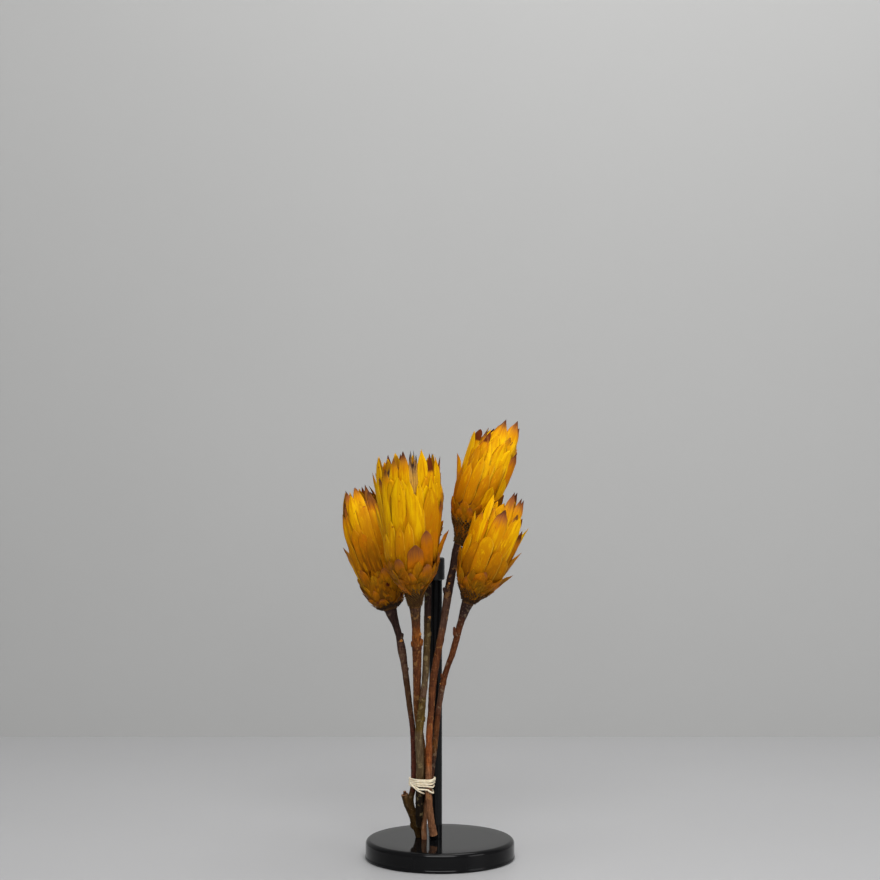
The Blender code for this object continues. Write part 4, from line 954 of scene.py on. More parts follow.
# Bracts under the ones above: how many for each bract of the spiral, how far inwards, where their
# tips stand and how long they are, as shares of the head's height, and how much wider they are
underLayers = [
    dict(share=1.0, inwards=1.3, lowest=0.78, highest=0.96, length=0.72, widen=1.2),
    dict(share=0.8, inwards=2.6, lowest=0.84, highest=0.98, length=0.66, widen=1.0),
]
tileRule = dict(count=34, widths=(6.0, 11.5), lengths=(9.0, 22.0), overCone=2.0, highest=0.33)
grainRule = dict(widths=(1.1, 2.4), length=2.7, lowest=0.8, overCone=1.5)
# How many points a blade has across and along, its thickness, and how far its edge and its face move
bladeSizes = dict(across=9, along=15, thickness=0.35, wave=0.11, crinkle=0.42)
underSizes = dict(across=5, along=11, thickness=0.35, wave=0.15, crinkle=0.3)
tileSizes = dict(across=7, along=8, thickness=0.4, wave=0.2, crinkle=0.45)
grainSizes = dict(across=3, along=4, thickness=0.7, wave=0.0, crinkle=0.2)
brushSizes = dict(across=3, along=7, thickness=0.8, wave=0.0, crinkle=0.3)


def axesOf(head):
    # The head's own axes: along its axis, to its right as seen from the front, and to the front
    neck = Vector(head["neck"])
    up = (Vector(head["top"]) - neck).normalized()
    right = (Vector((1, 0, 0)) - up * up.x).normalized()
    return dict(neck=neck, up=up, right=right, front=right.cross(up))


def outward(axes, angle):
    return axes["right"] * math.cos(angle) + axes["front"] * math.sin(angle)


def spot(axes, height, radius, angle):
    return axes["neck"] + axes["up"] * height + outward(axes, angle) * radius


def readOutline(outline, height):
    # The head's radius at a height
    if height <= outline[0][0]:
        return outline[0][1]
    for (low, lowRadius), (high, highRadius) in zip(outline, outline[1:]):
        if height <= high:
            return lowRadius + (highRadius - lowRadius) * (height - low) / (high - low)
    return outline[-1][1]


def coreRadius(head, height):
    # The heart lies further inside the outline the higher up the head
    (atFoot, moreAtTop), growth = bractRule["coreInset"], bractRule["coreGrowth"]
    share = min(1.0, height / head["cup"])
    return readOutline(head["outline"], height) - atFoot - moreAtTop * share**growth


def sideAngle(side, reach, facing):
    # The way round the axis, in which something this far out stands this far to the side
    angle = math.acos(max(-1.0, min(1.0, side / reach)))
    return -angle if facing < 0 else angle


def bladeThrough(root, middle, tip, **rest):
    # A blade whose curve goes through three points; bend is the handle that brings it through the middle
    return dict(root=root, bend=middle * 2 - (root + tip) / 2, tip=tip, **rest)


def bladeOf(head, axes, bract):
    # Root, middle and tip of a bract, the way it faces and its looks, as the blade tree reads them
    rule, outline, height = bractRule, head["outline"], bract["height"]
    rootHeight = min(max(height - bract["length"], rule["lowestRoot"]), head["cup"] - rule["rootBelowCup"])
    middleHeight = (rootHeight + height) / 2
    inwards = bract.get("inwards", 0.0)
    rootRadius = coreRadius(head, rootHeight) - rule["rootSink"]
    middleRadius = (readOutline(outline, middleHeight) - rule["layerDepth"] * bract["length"] / 2
                    + bract["flare"] * rule["flareShare"] - inwards)
    tipRadius = max(rule["narrowestTip"], readOutline(outline, height) + bract["flare"] - inwards)
    angles = [bract["angle"]] * 3
    turnedTo = Vector((0, 0, 0))
    if bract["lead"]:
        side, facing = bract["side"], bract["facing"]
        angles = [sideAngle(side * rule["leadRootShare"], rootRadius, facing),
                  sideAngle(side, middleRadius, facing), sideAngle(side, tipRadius, facing)]
        turnedTo = axes["front"] * (-rule["leadTurn"] if facing < 0 else rule["leadTurn"])
    return bladeThrough(
        spot(axes, rootHeight, rootRadius, angles[0]), spot(axes, middleHeight, middleRadius, angles[1]),
        spot(axes, height, tipRadius, angles[2]),
        face=(outward(axes, angles[1]) + turnedTo).normalized(),
        size=(bract["width"] / 2, bract["curl"], bract["twist"]),
        look=(bract["tone"], bract["dark"], bract["blunt"]),
        # dull lowers every bract's rise: the whole head is browner, and darker as painted shade
        more=(height / outline[-1][0] - head["dull"], bract["phase"], bract["cupped"]),
    )


def looksOf(draw, rank):
    # Random looks of a bract that isn't placed one by one; the higher it stands, the likelier a dark tip
    return dict(
        curl=draw.uniform(-0.6, 1.0), twist=draw.uniform(-0.2, 0.2), tone=draw.uniform(-0.9, 0.6),
        dark=draw.choice((0.0, 0.1, 0.3, 0.6, 1.0)) * (0.4 + 0.6 * rank), blunt=draw.uniform(0.0, 0.5),
        phase=draw.uniform(0, 6.28), cupped=draw.uniform(0.18, 0.42),
    )


def leadsOf(head, draw):
    leads = []
    for side, height, facing, flare, width, length, dark, curl, blunt, tone, *twist in head["leads"]:
        lead = looksOf(draw, 1.0)
        lead.update(dark=dark, curl=curl, blunt=blunt, tone=tone, twist=twist[0] if twist else 0)
        angle = sideAngle(side, readOutline(head["outline"], height) + flare, facing)
        lead.update(lead=True, side=side, height=height, facing=facing, flare=flare, width=width,
                    length=length, angle=angle)
        leads.append(lead)
    return leads


def isTaken(head, leads, bract):
    # True for a bract whose tip would stand where the tip of a listed one does
    radius = readOutline(head["outline"], bract["height"])
    for lead in leads:
        turn = abs((lead["angle"] - bract["angle"] + math.pi) % (2 * math.pi) - math.pi) * radius
        near = abs(lead["height"] - bract["height"]) < bractRule["leadRise"]
        if near and turn < bractRule["leadWidths"] * lead["width"]:
            return True
    return False


def tipShareOf(rank):
    # A head has short bracts low down and long ones to its top; few tips stand between them
    rule = bractRule
    if rank < rule["lowShare"]:
        (low, high), place = rule["lowTips"], rank / rule["lowShare"]
    else:
        (low, high), place = rule["highTips"], (rank - rule["lowShare"]) / (1 - rule["lowShare"])
    return low + (high - low) * place


def spiralOf(head):
    # The short scales and the bracts of the spiral, with the same draws as the part's own
    rule, draw, highest = bractRule, random.Random(head["seed"]), head["outline"][-1][0]
    found = []
    for number in range(head["scales"] + head["bracts"]):
        uneven = draw.uniform(-0.12, 0.12)
        if number < head["scales"]:
            rank = (number + 0.5) / head["scales"]
            height = highest * (rule["scaleTips"][0] + rule["scaleTips"][1] * rank)
            length = rule["scaleLengths"][0] + rule["scaleLengths"][1] * rank
            width = head["width"] * rule["scaleWidth"]
        else:
            rank = (number + 0.5 - head["scales"]) / head["bracts"]
            height = highest * tipShareOf(rank) * head["rim"]
            length = (rule["shortest"]
                      + (rule["longest"] * highest - rule["shortest"]) * rank ** rule["lengthGrowth"])
            width = head["width"] * (rule["widths"][0] + rule["widths"][1] * math.sin(math.pi * rank))
        found.append(dict(lead=False, angle=number * goldenAngle + uneven, length=length,
                          height=height + draw.uniform(-2.0, 2.0), width=width + draw.uniform(-0.8, 0.8),
                          flare=draw.uniform(-0.6, 1.6) * rule["spiralFlare"], rank=rank))
    return found


def hidesLead(head, leads, bract):
    # True for a long bract that would lie over the blade of a listed one at the front
    rule = bractRule
    side = math.cos(bract["angle"]) * readOutline(head["outline"], bract["height"])
    if math.sin(bract["angle"]) < 0 or bract["height"] < rule["skirt"] * head["outline"][-1][0]:
        return False
    for lead in leads:
        isBeside = abs(lead["side"] - side) < (lead["width"] + bract["width"]) * rule["coverWidths"]
        lowest = lead["height"] - lead["length"] * rule["coverLength"]
        if lead["facing"] >= 0 and isBeside and lowest < bract["height"] < lead["height"] + rule["coverRise"]:
            return True
    return False


def closesGap(head, bract):
    # True for a bract that would hide the florets where the head stands open at the front
    if "gap" not in head:
        return False
    middle, lowest = head["gap"]
    side = math.cos(bract["angle"]) * readOutline(head["outline"], bract["height"])
    isAcross = abs(side - middle) < bract["width"] * bractRule["gapWidths"]
    return isAcross and math.sin(bract["angle"]) > bractRule["gapFront"] and bract["height"] > lowest


def bractsOf(head):
    # The listed bracts, and the spiral's where none of those stands
    draw = random.Random(head["seed"] + 500)
    leads = leadsOf(head, draw)
    chosen = list(leads)
    for bract in spiralOf(head):
        bract.update(looksOf(draw, bract["rank"]))
        onCone = bract["height"] < head["coneTop"] + bractRule["overCone"]
        isLeftOut = onCone or isTaken(head, leads, bract) or closesGap(head, bract)
        if not (isLeftOut or hidesLead(head, leads, bract)):
            chosen.append(bract)
    return chosen


def underBractsOf(head):
    # The bracts that show between the outer ones and line the head behind them
    draw = random.Random(head["seed"] + 700)
    highest = head["outline"][-1][0]
    chosen = []
    for layer in underLayers:
        count = round(head["bracts"] * layer["share"])
        for number in range(count):
            share = (number + 0.5) / count
            height = highest * (layer["lowest"] + (layer["highest"] - layer["lowest"]) * share) * head["rim"]
            bract = dict(lead=False, angle=(number + 0.5) * goldenAngle + layer["inwards"],
                         length=highest * layer["length"] * (0.8 + 0.2 * share),
                         height=height + draw.uniform(-2.5, 2.5), flare=draw.uniform(-0.5, 0.8),
                         width=head["width"] * layer["widen"], inwards=layer["inwards"])
            bract.update(looksOf(draw, share))
            if math.sin(bract["angle"]) > 0 and head["leads"]:
                bract["height"] = min(bract["height"], highest * bractRule["frontRim"])
            if not closesGap(head, bract):
                chosen.append(bract)
    return chosen


def tilesOf(head):
    # Broad scales that overlap like tiles from the cone up to the first bracts
    draw = random.Random(head["seed"] + 900)
    rule, highest = tileRule, head["outline"][-1][0]
    narrowest, widest = rule["widths"]
    shortest, longest = rule["lengths"]
    lowest = head["coneTop"] + rule["overCone"]
    tiles = []
    for number in range(rule["count"]):
        share = (number + 0.5) / rule["count"]
        tile = dict(lead=False, angle=number * goldenAngle + draw.uniform(-0.08, 0.08),
                    height=lowest + (highest * rule["highest"] - lowest) * share + draw.uniform(-0.8, 0.8),
                    length=shortest + (longest - shortest) * share, flare=draw.uniform(-0.1, 0.7),
                    width=narrowest + (widest - narrowest) * share + draw.uniform(-0.8, 0.8))
        tile.update(looksOf(draw, share))
        tile.update(tone=tile["tone"] + head["tileTone"], blunt=draw.uniform(1.5, 2.0),
                    dark=draw.choice((0.0, 0.0, 0.3, 0.6, 0.9)), twist=draw.uniform(-0.3, 0.3),
                    curl=draw.uniform(0.0, 0.8))
        tiles.append(tile)
    return tiles


def grainsOf(head):
    # The small grains of the cone between the stem and the scales
    draw, rule = random.Random(head["seed"] + 1100), grainRule
    narrowest, widest = rule["widths"]
    grains = []
    for number in range(head["grains"]):
        share = (number + 0.5) / head["grains"]
        grain = dict(lead=False, angle=number * goldenAngle + draw.uniform(-0.05, 0.05),
                     height=rule["lowest"] + (head["coneTop"] + rule["overCone"]) * share,
                     length=rule["length"], flare=draw.uniform(0.1, 0.7),
                     width=narrowest + (widest - narrowest) * share)
        grain.update(looksOf(draw, 0.0))
        grain.update(blunt=1.8, curl=0.2, twist=0.0, tone=draw.uniform(0, 1) + head["grainTone"])
        grains.append(grain)
    return grains


def makeBladeTree():
    # Grows a bract from each point: a thin closed shell bent along its own root, bend and tip
    tree, wires, given, result = newTree("growBlades", "GeometryNodeTree", [
        ("Geometry", "Geometry"), ("Across", "Int", 7), ("Along", "Int", 13),
        ("Thickness", "Float", 0.0004), ("Wave", "Float", 0.0003), ("Crinkle", "Float", 0.0003),
        ("Skin", "Material"),
    ], [("Geometry", "Geometry")])

    def named(label):
        node = wires.add("GeometryNodeInputNamedAttribute", {"Name": label}, data_type="FLOAT_VECTOR")
        return node.outputs["Attribute"]

    # The flat blade: across from -1 to 1, along from 0 to 1, with two faces that meet at the edge
    grid = wires.add("GeometryNodeMeshGrid", {"Size X": 2.0, "Size Y": 1.0, "Vertices X": given["Across"],
                                              "Vertices Y": given["Along"]}).outputs[0]
    flat = wires.add("GeometryNodeInputPosition").outputs[0]
    x, y, _ = wires.split(flat)
    # The rows close up towards the tip, and the columns towards the edges
    y = wires.minus(1.0, wires.maths("POWER", wires.maths("SUBTRACT", 0.5, y, clamp=True), 1.5))
    inner = wires.minus(1.0, wires.maths("ABSOLUTE", x))
    x = wires.times(wires.maths("SIGN", x), wires.minus(1.0, wires.maths("POWER", inner, 1.9)))
    pillow = wires.minus(1.0, wires.maths("POWER", wires.maths("ABSOLUTE", x), 6.0))
    for end in (y, wires.minus(1.0, y)):
        pillow = wires.times(pillow, wires.maths("MULTIPLY", end, 8.0, clamp=True))
    faces = []
    for sign in (1.0, -1.0):
        lifted = wires.joined(x, y, wires.times(pillow, sign))
        face = wires.add("GeometryNodeSetPosition", {"Geometry": grid, "Position": lifted}).outputs[0]
        faces.append(face)
    faces[1] = wires.add("GeometryNodeFlipFaces", {"Mesh": faces[1]}).outputs[0]
    both = wires.add("GeometryNodeJoinGeometry")
    for face in faces:
        wires.tree.links.new(face, both.inputs[0])
    shell = wires.add("GeometryNodeMergeByDistance", {"Geometry": both.outputs[0],
                                                      "Distance": 0.001}).outputs[0]
    blade = wires.add("GeometryNodeStoreNamedAttribute", {"Geometry": shell, "Name": "blade", "Value": flat},
                      data_type="FLOAT_VECTOR", domain="POINT").outputs[0]
    copies = wires.add("GeometryNodeInstanceOnPoints", {"Points": given["Geometry"],
                                                        "Instance": blade}).outputs[0]
    real = wires.add("GeometryNodeRealizeInstances", {"Geometry": copies}).outputs[0]

    # Where a point of the blade goes
    across, along, lift = wires.split(named("blade"))
    root, bend, tip, face = (named(label) for label in ("root", "bend", "tip", "face"))
    half, curl, twist = wires.split(named("size"))
    _, _, blunt = wires.split(named("look"))
    _, phase, cupped = wires.split(named("more"))
    ownPlace = (across, along, phase)
    left = wires.minus(1.0, along)
    centre = wires.total(
        wires.vectors("SCALE", root, wires.times(left, left)),
        wires.vectors("SCALE", bend, wires.times(along, left, 2.0)),
        wires.vectors("SCALE", tip, wires.times(along, along)))
    ahead = wires.vectors("NORMALIZE", wires.total(
        wires.vectors("SCALE", wires.vectors("SUBTRACT", bend, root), left),
        wires.vectors("SCALE", wires.vectors("SUBTRACT", tip, bend), along)))
    side = wires.vectors("NORMALIZE", wires.vectors("CROSS_PRODUCT", ahead, face))
    side = wires.add("ShaderNodeVectorRotate", {"Vector": side, "Axis": ahead,
                                                "Angle": wires.times(twist, along)}).outputs[0]
    out = wires.vectors("CROSS_PRODUCT", side, ahead)

    # Half the width along the blade, for each of the three shapes
    pointed = wires.curve(along, [(0, 0.85), (1, 0.02), (0.25, 0.96), (0.60, 1.0), (0.78, 0.94), (0.88, 0.66),
                                  (0.95, 0.28)])
    rounded = wires.curve(along, [(0, 0.85), (1, 0.12), (0.25, 0.96), (0.58, 1.0), (0.86, 0.95),
                                  (0.95, 0.62)])
    arch = wires.curve(along, [(0, 0.80), (1, 0.02), (0.18, 0.96), (0.36, 1.0), (0.62, 0.80), (0.84, 0.40)])
    strap = wires.blend(blunt, pointed, rounded, kind="FLOAT")
    profile = wires.blend(wires.minus(blunt, 1.0), strap, arch, kind="FLOAT")
    nibbles = bladeNoise(wires, ownPlace, (0.8, 6.0), 0.0, 1.2, 2.0)
    reach = wires.times(half, profile, wires.plus(wires.times(nibbles, 0.24), 0.88))
    cup = wires.times(cupped, wires.ramp(along, 0.0, 1.0, 0.75, 1.35))
    turn = wires.times(cup, across)
    shareOfCup = wires.maths("DIVIDE", reach, cup)
    sway = wires.times(wires.maths("SINE", phase), half, wires.times(along, along, 0.16))
    sideways = wires.plus(wires.times(wires.maths("SINE", turn), shareOfCup), sway)
    depth = wires.times(wires.minus(1.0, wires.maths("COSINE", turn)), shareOfCup)

    # A wavy edge, crinkles, the curl of the tip and the blade's thickness
    edge = wires.times(across, across, profile)
    ripple = wires.maths("SINE", wires.plus(wires.times(along, 17.0),
                                            wires.plus(phase, wires.times(across, 2.0))))
    wave = wires.times(ripple, edge, given["Wave"])
    buckle = wires.minus(wires.noise(centre, 170.0, 2.0), 0.5)
    fold = wires.minus(bladeNoise(wires, ownPlace, (2.2, 2.0), 0.0, 1.5, 1.0), 0.5)
    crinkle = wires.times(wires.plus(buckle, fold), wires.times(given["Crinkle"], 2.0))
    ending = wires.ramp(along, 0.68, 1.05)
    curled = wires.times(ending, ending, curl)
    thick = wires.times(lift, wires.times(given["Thickness"], 0.5))
    raised = wires.plus(wave, crinkle, wires.minus(wires.plus(curled, thick), depth))
    goal = wires.total(centre, wires.vectors("SCALE", side, sideways), wires.vectors("SCALE", out, raised))
    bent = wires.add("GeometryNodeSetPosition", {"Geometry": real, "Position": goal}).outputs[0]
    smooth = wires.add("GeometryNodeSetShadeSmooth", {"Geometry": bent}).outputs[0]
    skinned = wires.add("GeometryNodeSetMaterial", {"Geometry": smooth, "Material": given["Skin"]}).outputs[0]
    wires.feed(result["Geometry"], skinned)
    return tree


bladeTree = makeBladeTree()


def bladeMesh(name, blades, sizes, skin):
    # A point for each blade carries what the tree reads; lengths become metres
    seeds = bpy.data.meshes.new(name)
    seeds.from_pydata([tuple(blade["root"] * mm) for blade in blades], [], [])
    lengths = {"root": (mm, mm, mm), "bend": (mm, mm, mm), "tip": (mm, mm, mm), "size": (mm, mm, 1)}
    for label in ("root", "bend", "tip", "face", "size", "look", "more"):
        layer = seeds.attributes.new(label, "FLOAT_VECTOR", "POINT")
        factors = lengths.get(label, (1, 1, 1))
        layer.data.foreach_set("vector", [n * f for blade in blades for n, f in zip(blade[label], factors)])
    return grow(linked(name, seeds), bladeTree, {
        "Across": sizes["across"], "Along": sizes["along"], "Thickness": sizes["thickness"] * mm,
        "Wave": sizes["wave"] * mm, "Crinkle": sizes["crinkle"] * mm, "Skin": skin,
    })


# rim is each ring's drop below the cup's top and its distance inwards; floor, the ring of the dished floor
heartSizes = dict(
    sides=36, belowCup=3, inset=1.4, insetRise=8, lump=0.2, lumpTop=0.45,
    rim=[(2.2, 0.0), (0.8, 0.8), (0.6, 2.0)], floorDrop=2.0, floorShare=0.5, skinStart=2, skinRise=6,
    sharp=60,
)
brushRule = dict(
    perSquareMillimetre=0.34, columnShare=0.85, width=0.85, spread=(0.92, 1.04), drop=6.0, swell=0.3,
    styleEvery=5, styleWidth=0.42, styleDrops=(4, 10),
)


def heldShare(value):
    return max(0.0, min(1.0, value))


def heartMesh(head, axes):
    # The body that the bracts grow from, with a dished floor for the florets
    s, cup, coneTop = heartSizes, head["cup"], head["coneTop"]
    draw = random.Random(head["seed"] + 40)
    profile = [(0.0, head["outline"][0][1])]
    for height in range(1, int(cup) - s["belowCup"]):
        thinner = s["inset"] * heldShare((height - coneTop) / s["insetRise"])
        profile.append((height, coreRadius(head, height) - thinner))
    top = coreRadius(head, cup) - s["inset"]
    profile += [(cup - drop, top - inwards) for drop, inwards in s["rim"]]
    profile.append((cup - s["floorDrop"], top * s["floorShare"]))
    bm = bmesh.new()
    rings = []
    for height, radius in profile:
        ring = []
        for side in range(s["sides"]):
            lump = draw.uniform(-s["lump"], s["lump"]) if 1 < height < cup * s["lumpTop"] else 0.0
            place = spot(axes, height, radius + lump, -2 * math.pi * side / s["sides"])
            ring.append(bm.verts.new(place * mm))
        rings.append(ring)
    sideFaces(bm, rings)
    bm.faces.new(rings[0])
    bm.faces.new(rings[-1])
    bmesh.ops.recalc_face_normals(bm, faces=bm.faces)
    mesh = meshOf(bm, "heart", s["sharp"])
    above = [heldShare((height - coneTop - s["skinStart"]) / s["skinRise"])
             for height, _ in profile for _ in range(s["sides"])]
    mesh.attributes.new("aboveCone", "FLOAT", "POINT").data.foreach_set("value", above)
    return mesh


def floretsOf(head, axes):
    # Slender florets packed from side to side of the bowl, with longer styles between them
    draw = random.Random(head["seed"] + 100)
    rule, floor, top = brushRule, head["cup"] - heartSizes["floorDrop"], head["floretTop"]
    columnTop = floor + (top - floor) * rule["columnShare"]
    blades = []
    count = round(math.pi * head["mouth"] ** 2 * rule["perSquareMillimetre"])
    for number in range(count):
        share = math.sqrt((number + 0.5) / count)
        angle = number * goldenAngle
        low, high = head["mouth"] * share, head["crown"] * share * draw.uniform(*rule["spread"])
        isStyle = number % rule["styleEvery"] == 0
        height = (top - draw.uniform(*rule["styleDrops"]) if isStyle
                  else columnTop + draw.uniform(-rule["drop"], 0.0))
        blades.append(bladeThrough(
            spot(axes, floor, low, angle),
            spot(axes, (floor + height) / 2, (low + high) / 2 + rule["swell"], angle),
            spot(axes, height, high, angle + draw.uniform(-0.08, 0.08)), face=outward(axes, angle),
            size=(rule["styleWidth"] if isStyle else rule["width"], draw.uniform(-0.5, 0.5),
                  draw.uniform(-1, 1)),
            look=(draw.uniform(-1, 1), 0.0, 0.4), more=(1.0, draw.uniform(0, 6.28), 0.8),
        ))
    return blades + tuftOf(head, axes, draw)


def tuftOf(head, axes, draw):
    # The florets that fill the gap between two bracts at a head's front, in two staggered rows
    if "tuft" not in head:
        return []
    tuft = head["tuft"]
    (low, high), radius = tuft["side"], tuft["radius"]
    blades = []
    for number in range(tuft["count"]):
        share = (number + 0.5) / tuft["count"]
        angle = math.acos((low + (high - low) * share) / radius)
        back = tuft["rowGap"] * (number % 2)
        height = draw.uniform(*tuft["heights"])
        blades.append(bladeThrough(
            spot(axes, head["cup"] + 2, radius - tuft["lean"] - back, angle),
            spot(axes, (head["cup"] + height) / 2, radius - back, angle),
            spot(axes, height, radius - back, angle + draw.uniform(-0.03, 0.03)), face=outward(axes, angle),
            size=(draw.uniform(0.8, 1.2), draw.uniform(-0.4, 0.4), draw.uniform(-0.5, 0.5)),
            look=(draw.uniform(0.2, 1.5), 0.0, 0.3), more=(1.0, draw.uniform(0, 6.28), 0.8),
        ))
    return blades


def grownPiece(name, head, axes, shapes, sizes, skinName, slotName, *nodes):
    blades = [bladeOf(head, axes, shape) for shape in shapes]
    finished(name, bladeMesh(name, blades, sizes, skins[skinName]), slotName, *nodes)


def makeHead(name, head, axes):
    bracts = bractsOf(head)
    grownPiece("bracts_" + name, head, axes, bracts, bladeSizes, "bract", "dried_bract", "bloom_" + name)
    grownPiece("underBracts_" + name, head, axes, underBractsOf(head), underSizes, "bract", "dried_bract")
    grownPiece("scales_" + name, head, axes, tilesOf(head), tileSizes, "bract", "dried_bract")
    grownPiece("cone_" + name, head, axes, grainsOf(head), grainSizes, "cone", "dried_bract")
    heart = heartMesh(head, axes)
    heart.materials.append(skins["heart"])
    finished("heart_" + name, heart, "dried_bract")
    finished("brush_" + name, bladeMesh("brush_" + name, floretsOf(head, axes), brushSizes, skins["floret"]),
             "dried_floret", "florets_" + name)
    print("head made:", name, len(bracts), "bracts")


# Tie

# turns: the height of each turn of the rubber band, and how it slopes to the right and to the back
tieSizes = dict(
    centre=(-14.0, -11.0), reach=9.0, strandRadius=0.75, clearance=0.35, points=90, tuckSpacing=0.8,
    ringSpacing=0.5, sides=12, groove=0.02, knob=0.10,
    turns=[(65.0, 0.0, 0.02), (63.6, 0.03, 0.0), (62.1, -0.02, 0.03), (60.2, -0.12, 0.02),
           (57.4, -0.34, 0.05)],
    tucked=[(-24.3, -9.6, 62.8, 0.6), (-23.3, -13.0, 61.2, 0.6), (-20.6, -15.8, 58.8, 0.6),
            (-17.4, -17.5, 56.4, 0.6), (-14.5, -17.2, 54.8, 0.6), (-12.4, -15.4, 53.8, 0.55)],
)


def tieTurn(routes, height, slopeX, slopeY):
    # The line drawn tight round the five stems, kept just clear of them
    s = tieSizes
    middle = Vector(s["centre"])
    turn = []
    for step in range(s["points"]):
        angle = 2 * math.pi * step / s["points"]
        aim = Vector((math.cos(angle), math.sin(angle)))
        z = height + (aim.x * slopeX + aim.y * slopeY) * s["reach"]
        reaches = []
        for route in routes:
            x, y, _, radius = atHeight(route, z)
            reaches.append(((Vector((x, y)) - middle).dot(aim) + radius, x, y, radius))
        _, x, y, radius = max(reaches)
        offset = radius + s["clearance"] + s["strandRadius"]
        turn.append((x + aim.x * offset, y + aim.y * offset, z, s["strandRadius"]))
    return turn


def makeTie(routes):
    s = tieSizes
    strands = [curveOf("strand", tieTurn(routes, *turn), cyclic=True) for turn in s["turns"]]
    strands.append(curveOf("tucked", smoothRoute(s["tucked"], s["tuckSpacing"])))
    bm = bmesh.new()
    for number, strand in enumerate(strands):
        bm.from_mesh(grow(strand, barkTree, {
            "Spacing": s["ringSpacing"] * mm, "Sides": s["sides"], "Groove": s["groove"] * mm,
            "Knob": s["knob"] * mm, "Wart size": 0.0, "Warts": 0.0, "Seed": number + 60,
            "Skin": skins["rubber"],
        }))
    mesh = meshOf(bm, "band")
    mesh.materials.append(skins["rubber"])
    finished("band", mesh, "cream_rubber", "tie_band")


# Clip

def makeCap():
    # The cap over the post's end
    s = standSizes
    edge, ceiling = s["capEdge"], s["postTop"] + s["fitGap"]
    profile = [(0, s["capTop"]), (s["capRadius"] - edge, s["capTop"]),
               *arcPoints(s["capRadius"] - edge, s["capTop"] - edge, edge, 90, 0, 6),
               (s["capRadius"], s["capBottom"] + s["capBevel"]),
               (s["capRadius"] - s["capBevel"], s["capBottom"]), (s["capBore"], s["capBottom"]),
               (s["capBore"], ceiling), (0, ceiling)]
    return turnedMesh("cap", profile, s["postAxis"], s["postSides"])


def makeClip(x, y, radius):
    # The cap, the open jaw that holds the middle stem, and the arm between them
    s = standSizes
    inner = radius + s["jawClearance"]
    outer, half, edge = inner + s["jawWall"], s["jawHeight"] / 2, s["jawEdge"]
    toCap = math.atan2(s["postAxis"][1] - y, s["postAxis"][0] - x)
    opening = math.radians(s["jawOpening"])
    section = [(inner, -half), (outer - edge, -half), (outer, -half + edge), (outer, half - edge),
               (outer - edge, half), (inner, half)]
    bm = bmesh.new()
    rows = []
    for step in range(s["jawSteps"] + 1):
        angle = toCap + math.pi + opening / 2 + (2 * math.pi - opening) * step / s["jawSteps"]
        rows.append([bm.verts.new(Vector((x + math.cos(angle) * reach, y + math.sin(angle) * reach,
                                          s["jawMiddle"] + level)) * mm) for reach, level in section])
    sideFaces(bm, rows)
    bm.faces.new(rows[0][::-1])
    bm.faces.new(rows[-1])
    toPost = Vector((math.cos(toCap), math.sin(toCap)))
    nearCap = Vector(s["postAxis"]) - toPost * (s["capBore"] + s["armSink"])
    nearStem = Vector((x, y)) + toPost * (inner + s["armSink"])
    web = (nearCap + nearStem) / 2
    arm = bmesh.ops.create_cube(bm, size=1.0)["verts"]
    size = ((nearCap - nearStem).length * mm, s["armWidth"] * mm, (s["jawHeight"] - s["armLower"]) * mm, 1)
    turn = Matrix.Translation((web.x * mm, web.y * mm, s["jawMiddle"] * mm)) @ Matrix.Rotation(toCap, 4, "Z")
    bmesh.ops.transform(bm, matrix=turn @ Matrix.Diagonal(size), verts=arm)
    bmesh.ops.recalc_face_normals(bm, faces=bm.faces)
    bm.from_mesh(makeCap())
    mesh = meshOf(bm, "clip", 35)
    mesh.materials.append(skins["plastic"])
    finished("clip", mesh, "black_plastic", "stand_clip")


# Putting the object together

makeDisc()
makePost()
stemRoutes = {}
for number, (name, head) in enumerate(heads.items()):
    headAxes = axesOf(head)
    stemRoutes[name] = makeStem(name, headAxes, head["outline"][0][1], number + 1)
    makeHead(name, head, headAxes)
makeTie(list(stemRoutes.values()))
jawX, jawY, _, jawStem = atHeight(stemRoutes["middle"], standSizes["jawMiddle"])
makeClip(jawX, jawY, jawStem)
print("object made")


# Floor, backdrop, light and camera

studio = dict(
    wallDistance=0.613, reach=4.0, wallColour=(0.405, 0.405, 0.40), floorColour=(0.385, 0.385, 0.39),
    world=(0.62, 0.62, 0.62), worldStrength=0.46, lens=77.36, sensor=36, cameraPlace=(0.0, -1.514, 0.334),
)
# Each light's name, place, aim, width and height, and power
lights = [
    ("keyLight", (0.03, -1.5, 1.5), (0, 0, 0.15), (1.5, 0.7), 26),
    ("topLight", (0.2, -0.1, 1.7), (0, 0, 0.1), (1.4, 1.0), 18),
    ("fillLight", (1.5, -0.9, 0.7), (0, 0, 0.2), (0.8, 0.8), 6),
]


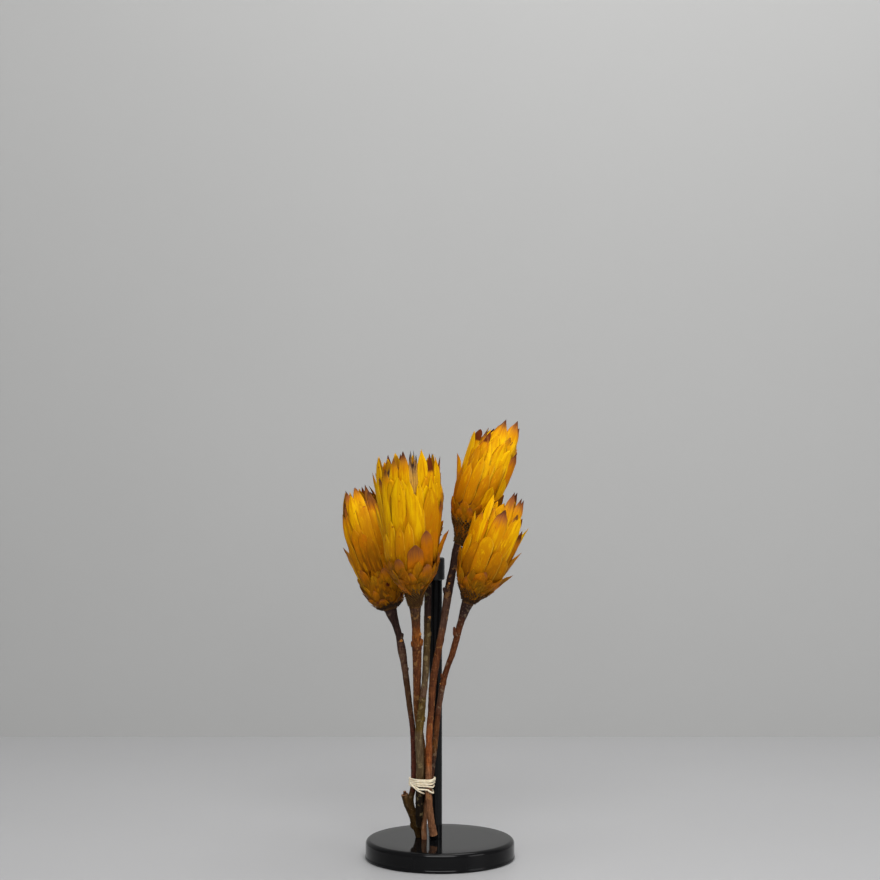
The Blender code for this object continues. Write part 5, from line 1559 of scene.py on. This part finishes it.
def stagePlane(name, corners, colour, roughness, oneSided):
    mesh = bpy.data.meshes.new(name)
    mesh.from_pydata(corners, [], [(0, 1, 2, 3)])
    material, wires, shader, place = newMaterial(name, Roughness=roughness)
    shade = mottleAt(wires, place, 1.5, 0.2, 0.8, colour, tuple(c * 1.04 for c in colour))
    wires.feed(shader["Base Color"], shade)
    if oneSided:  # seen from behind, the wall lets the object show
        back = wires.add("ShaderNodeNewGeometry").outputs["Backfacing"]
        clear = wires.add("ShaderNodeBsdfTransparent").outputs[0]
        mixed = wires.add("ShaderNodeMixShader")
        body = material.node_tree.nodes["Principled BSDF"].outputs[0]
        for socket, value in zip(mixed.inputs, (back, body, clear)):
            wires.feed(socket, value)
        wires.feed(material.node_tree.nodes["Material Output"].inputs["Surface"], mixed.outputs[0])
    mesh.materials.append(material)
    plane = linked(name, mesh)


def areaLight(name, place, aim, size, power):
    light = bpy.data.lights.new(name, "AREA")
    light.shape = "RECTANGLE"
    light.size, light.size_y = size
    light.energy = power
    lamp = linked(name, light)
    lamp.location = place
    lamp.rotation_euler = (Vector(aim) - Vector(place)).to_track_quat("-Z", "Y").to_euler()
    lamp.visible_camera = False


far, wallY = studio["reach"], studio["wallDistance"]
stagePlane("floor", [(-far, -far, 0), (far, -far, 0), (far, wallY, 0), (-far, wallY, 0)],
           studio["floorColour"], 0.45, False)
stagePlane("wall", [(-far, wallY, 0), (far, wallY, 0), (far, wallY, far), (-far, wallY, far)],
           studio["wallColour"], 0.8, True)
for light in lights:
    areaLight(*light)

world = bpy.data.worlds.new("studio")
world.use_nodes = True
sky = world.node_tree.nodes["Background"].inputs
sky["Color"].default_value = (*studio["world"], 1)
sky["Strength"].default_value = studio["worldStrength"]
bpy.context.scene.world = world
bpy.context.scene.view_settings.view_transform = "Standard"

cameraData = bpy.data.cameras.new("camera")
cameraData.lens = studio["lens"]
cameraData.sensor_width = studio["sensor"]
cameraData.clip_start = 0.01
camera = linked("camera", cameraData)
camera.location = studio["cameraPlace"]
camera.rotation_euler = (math.pi / 2, 0, 0)
bpy.context.scene.camera = camera

print("studio made")
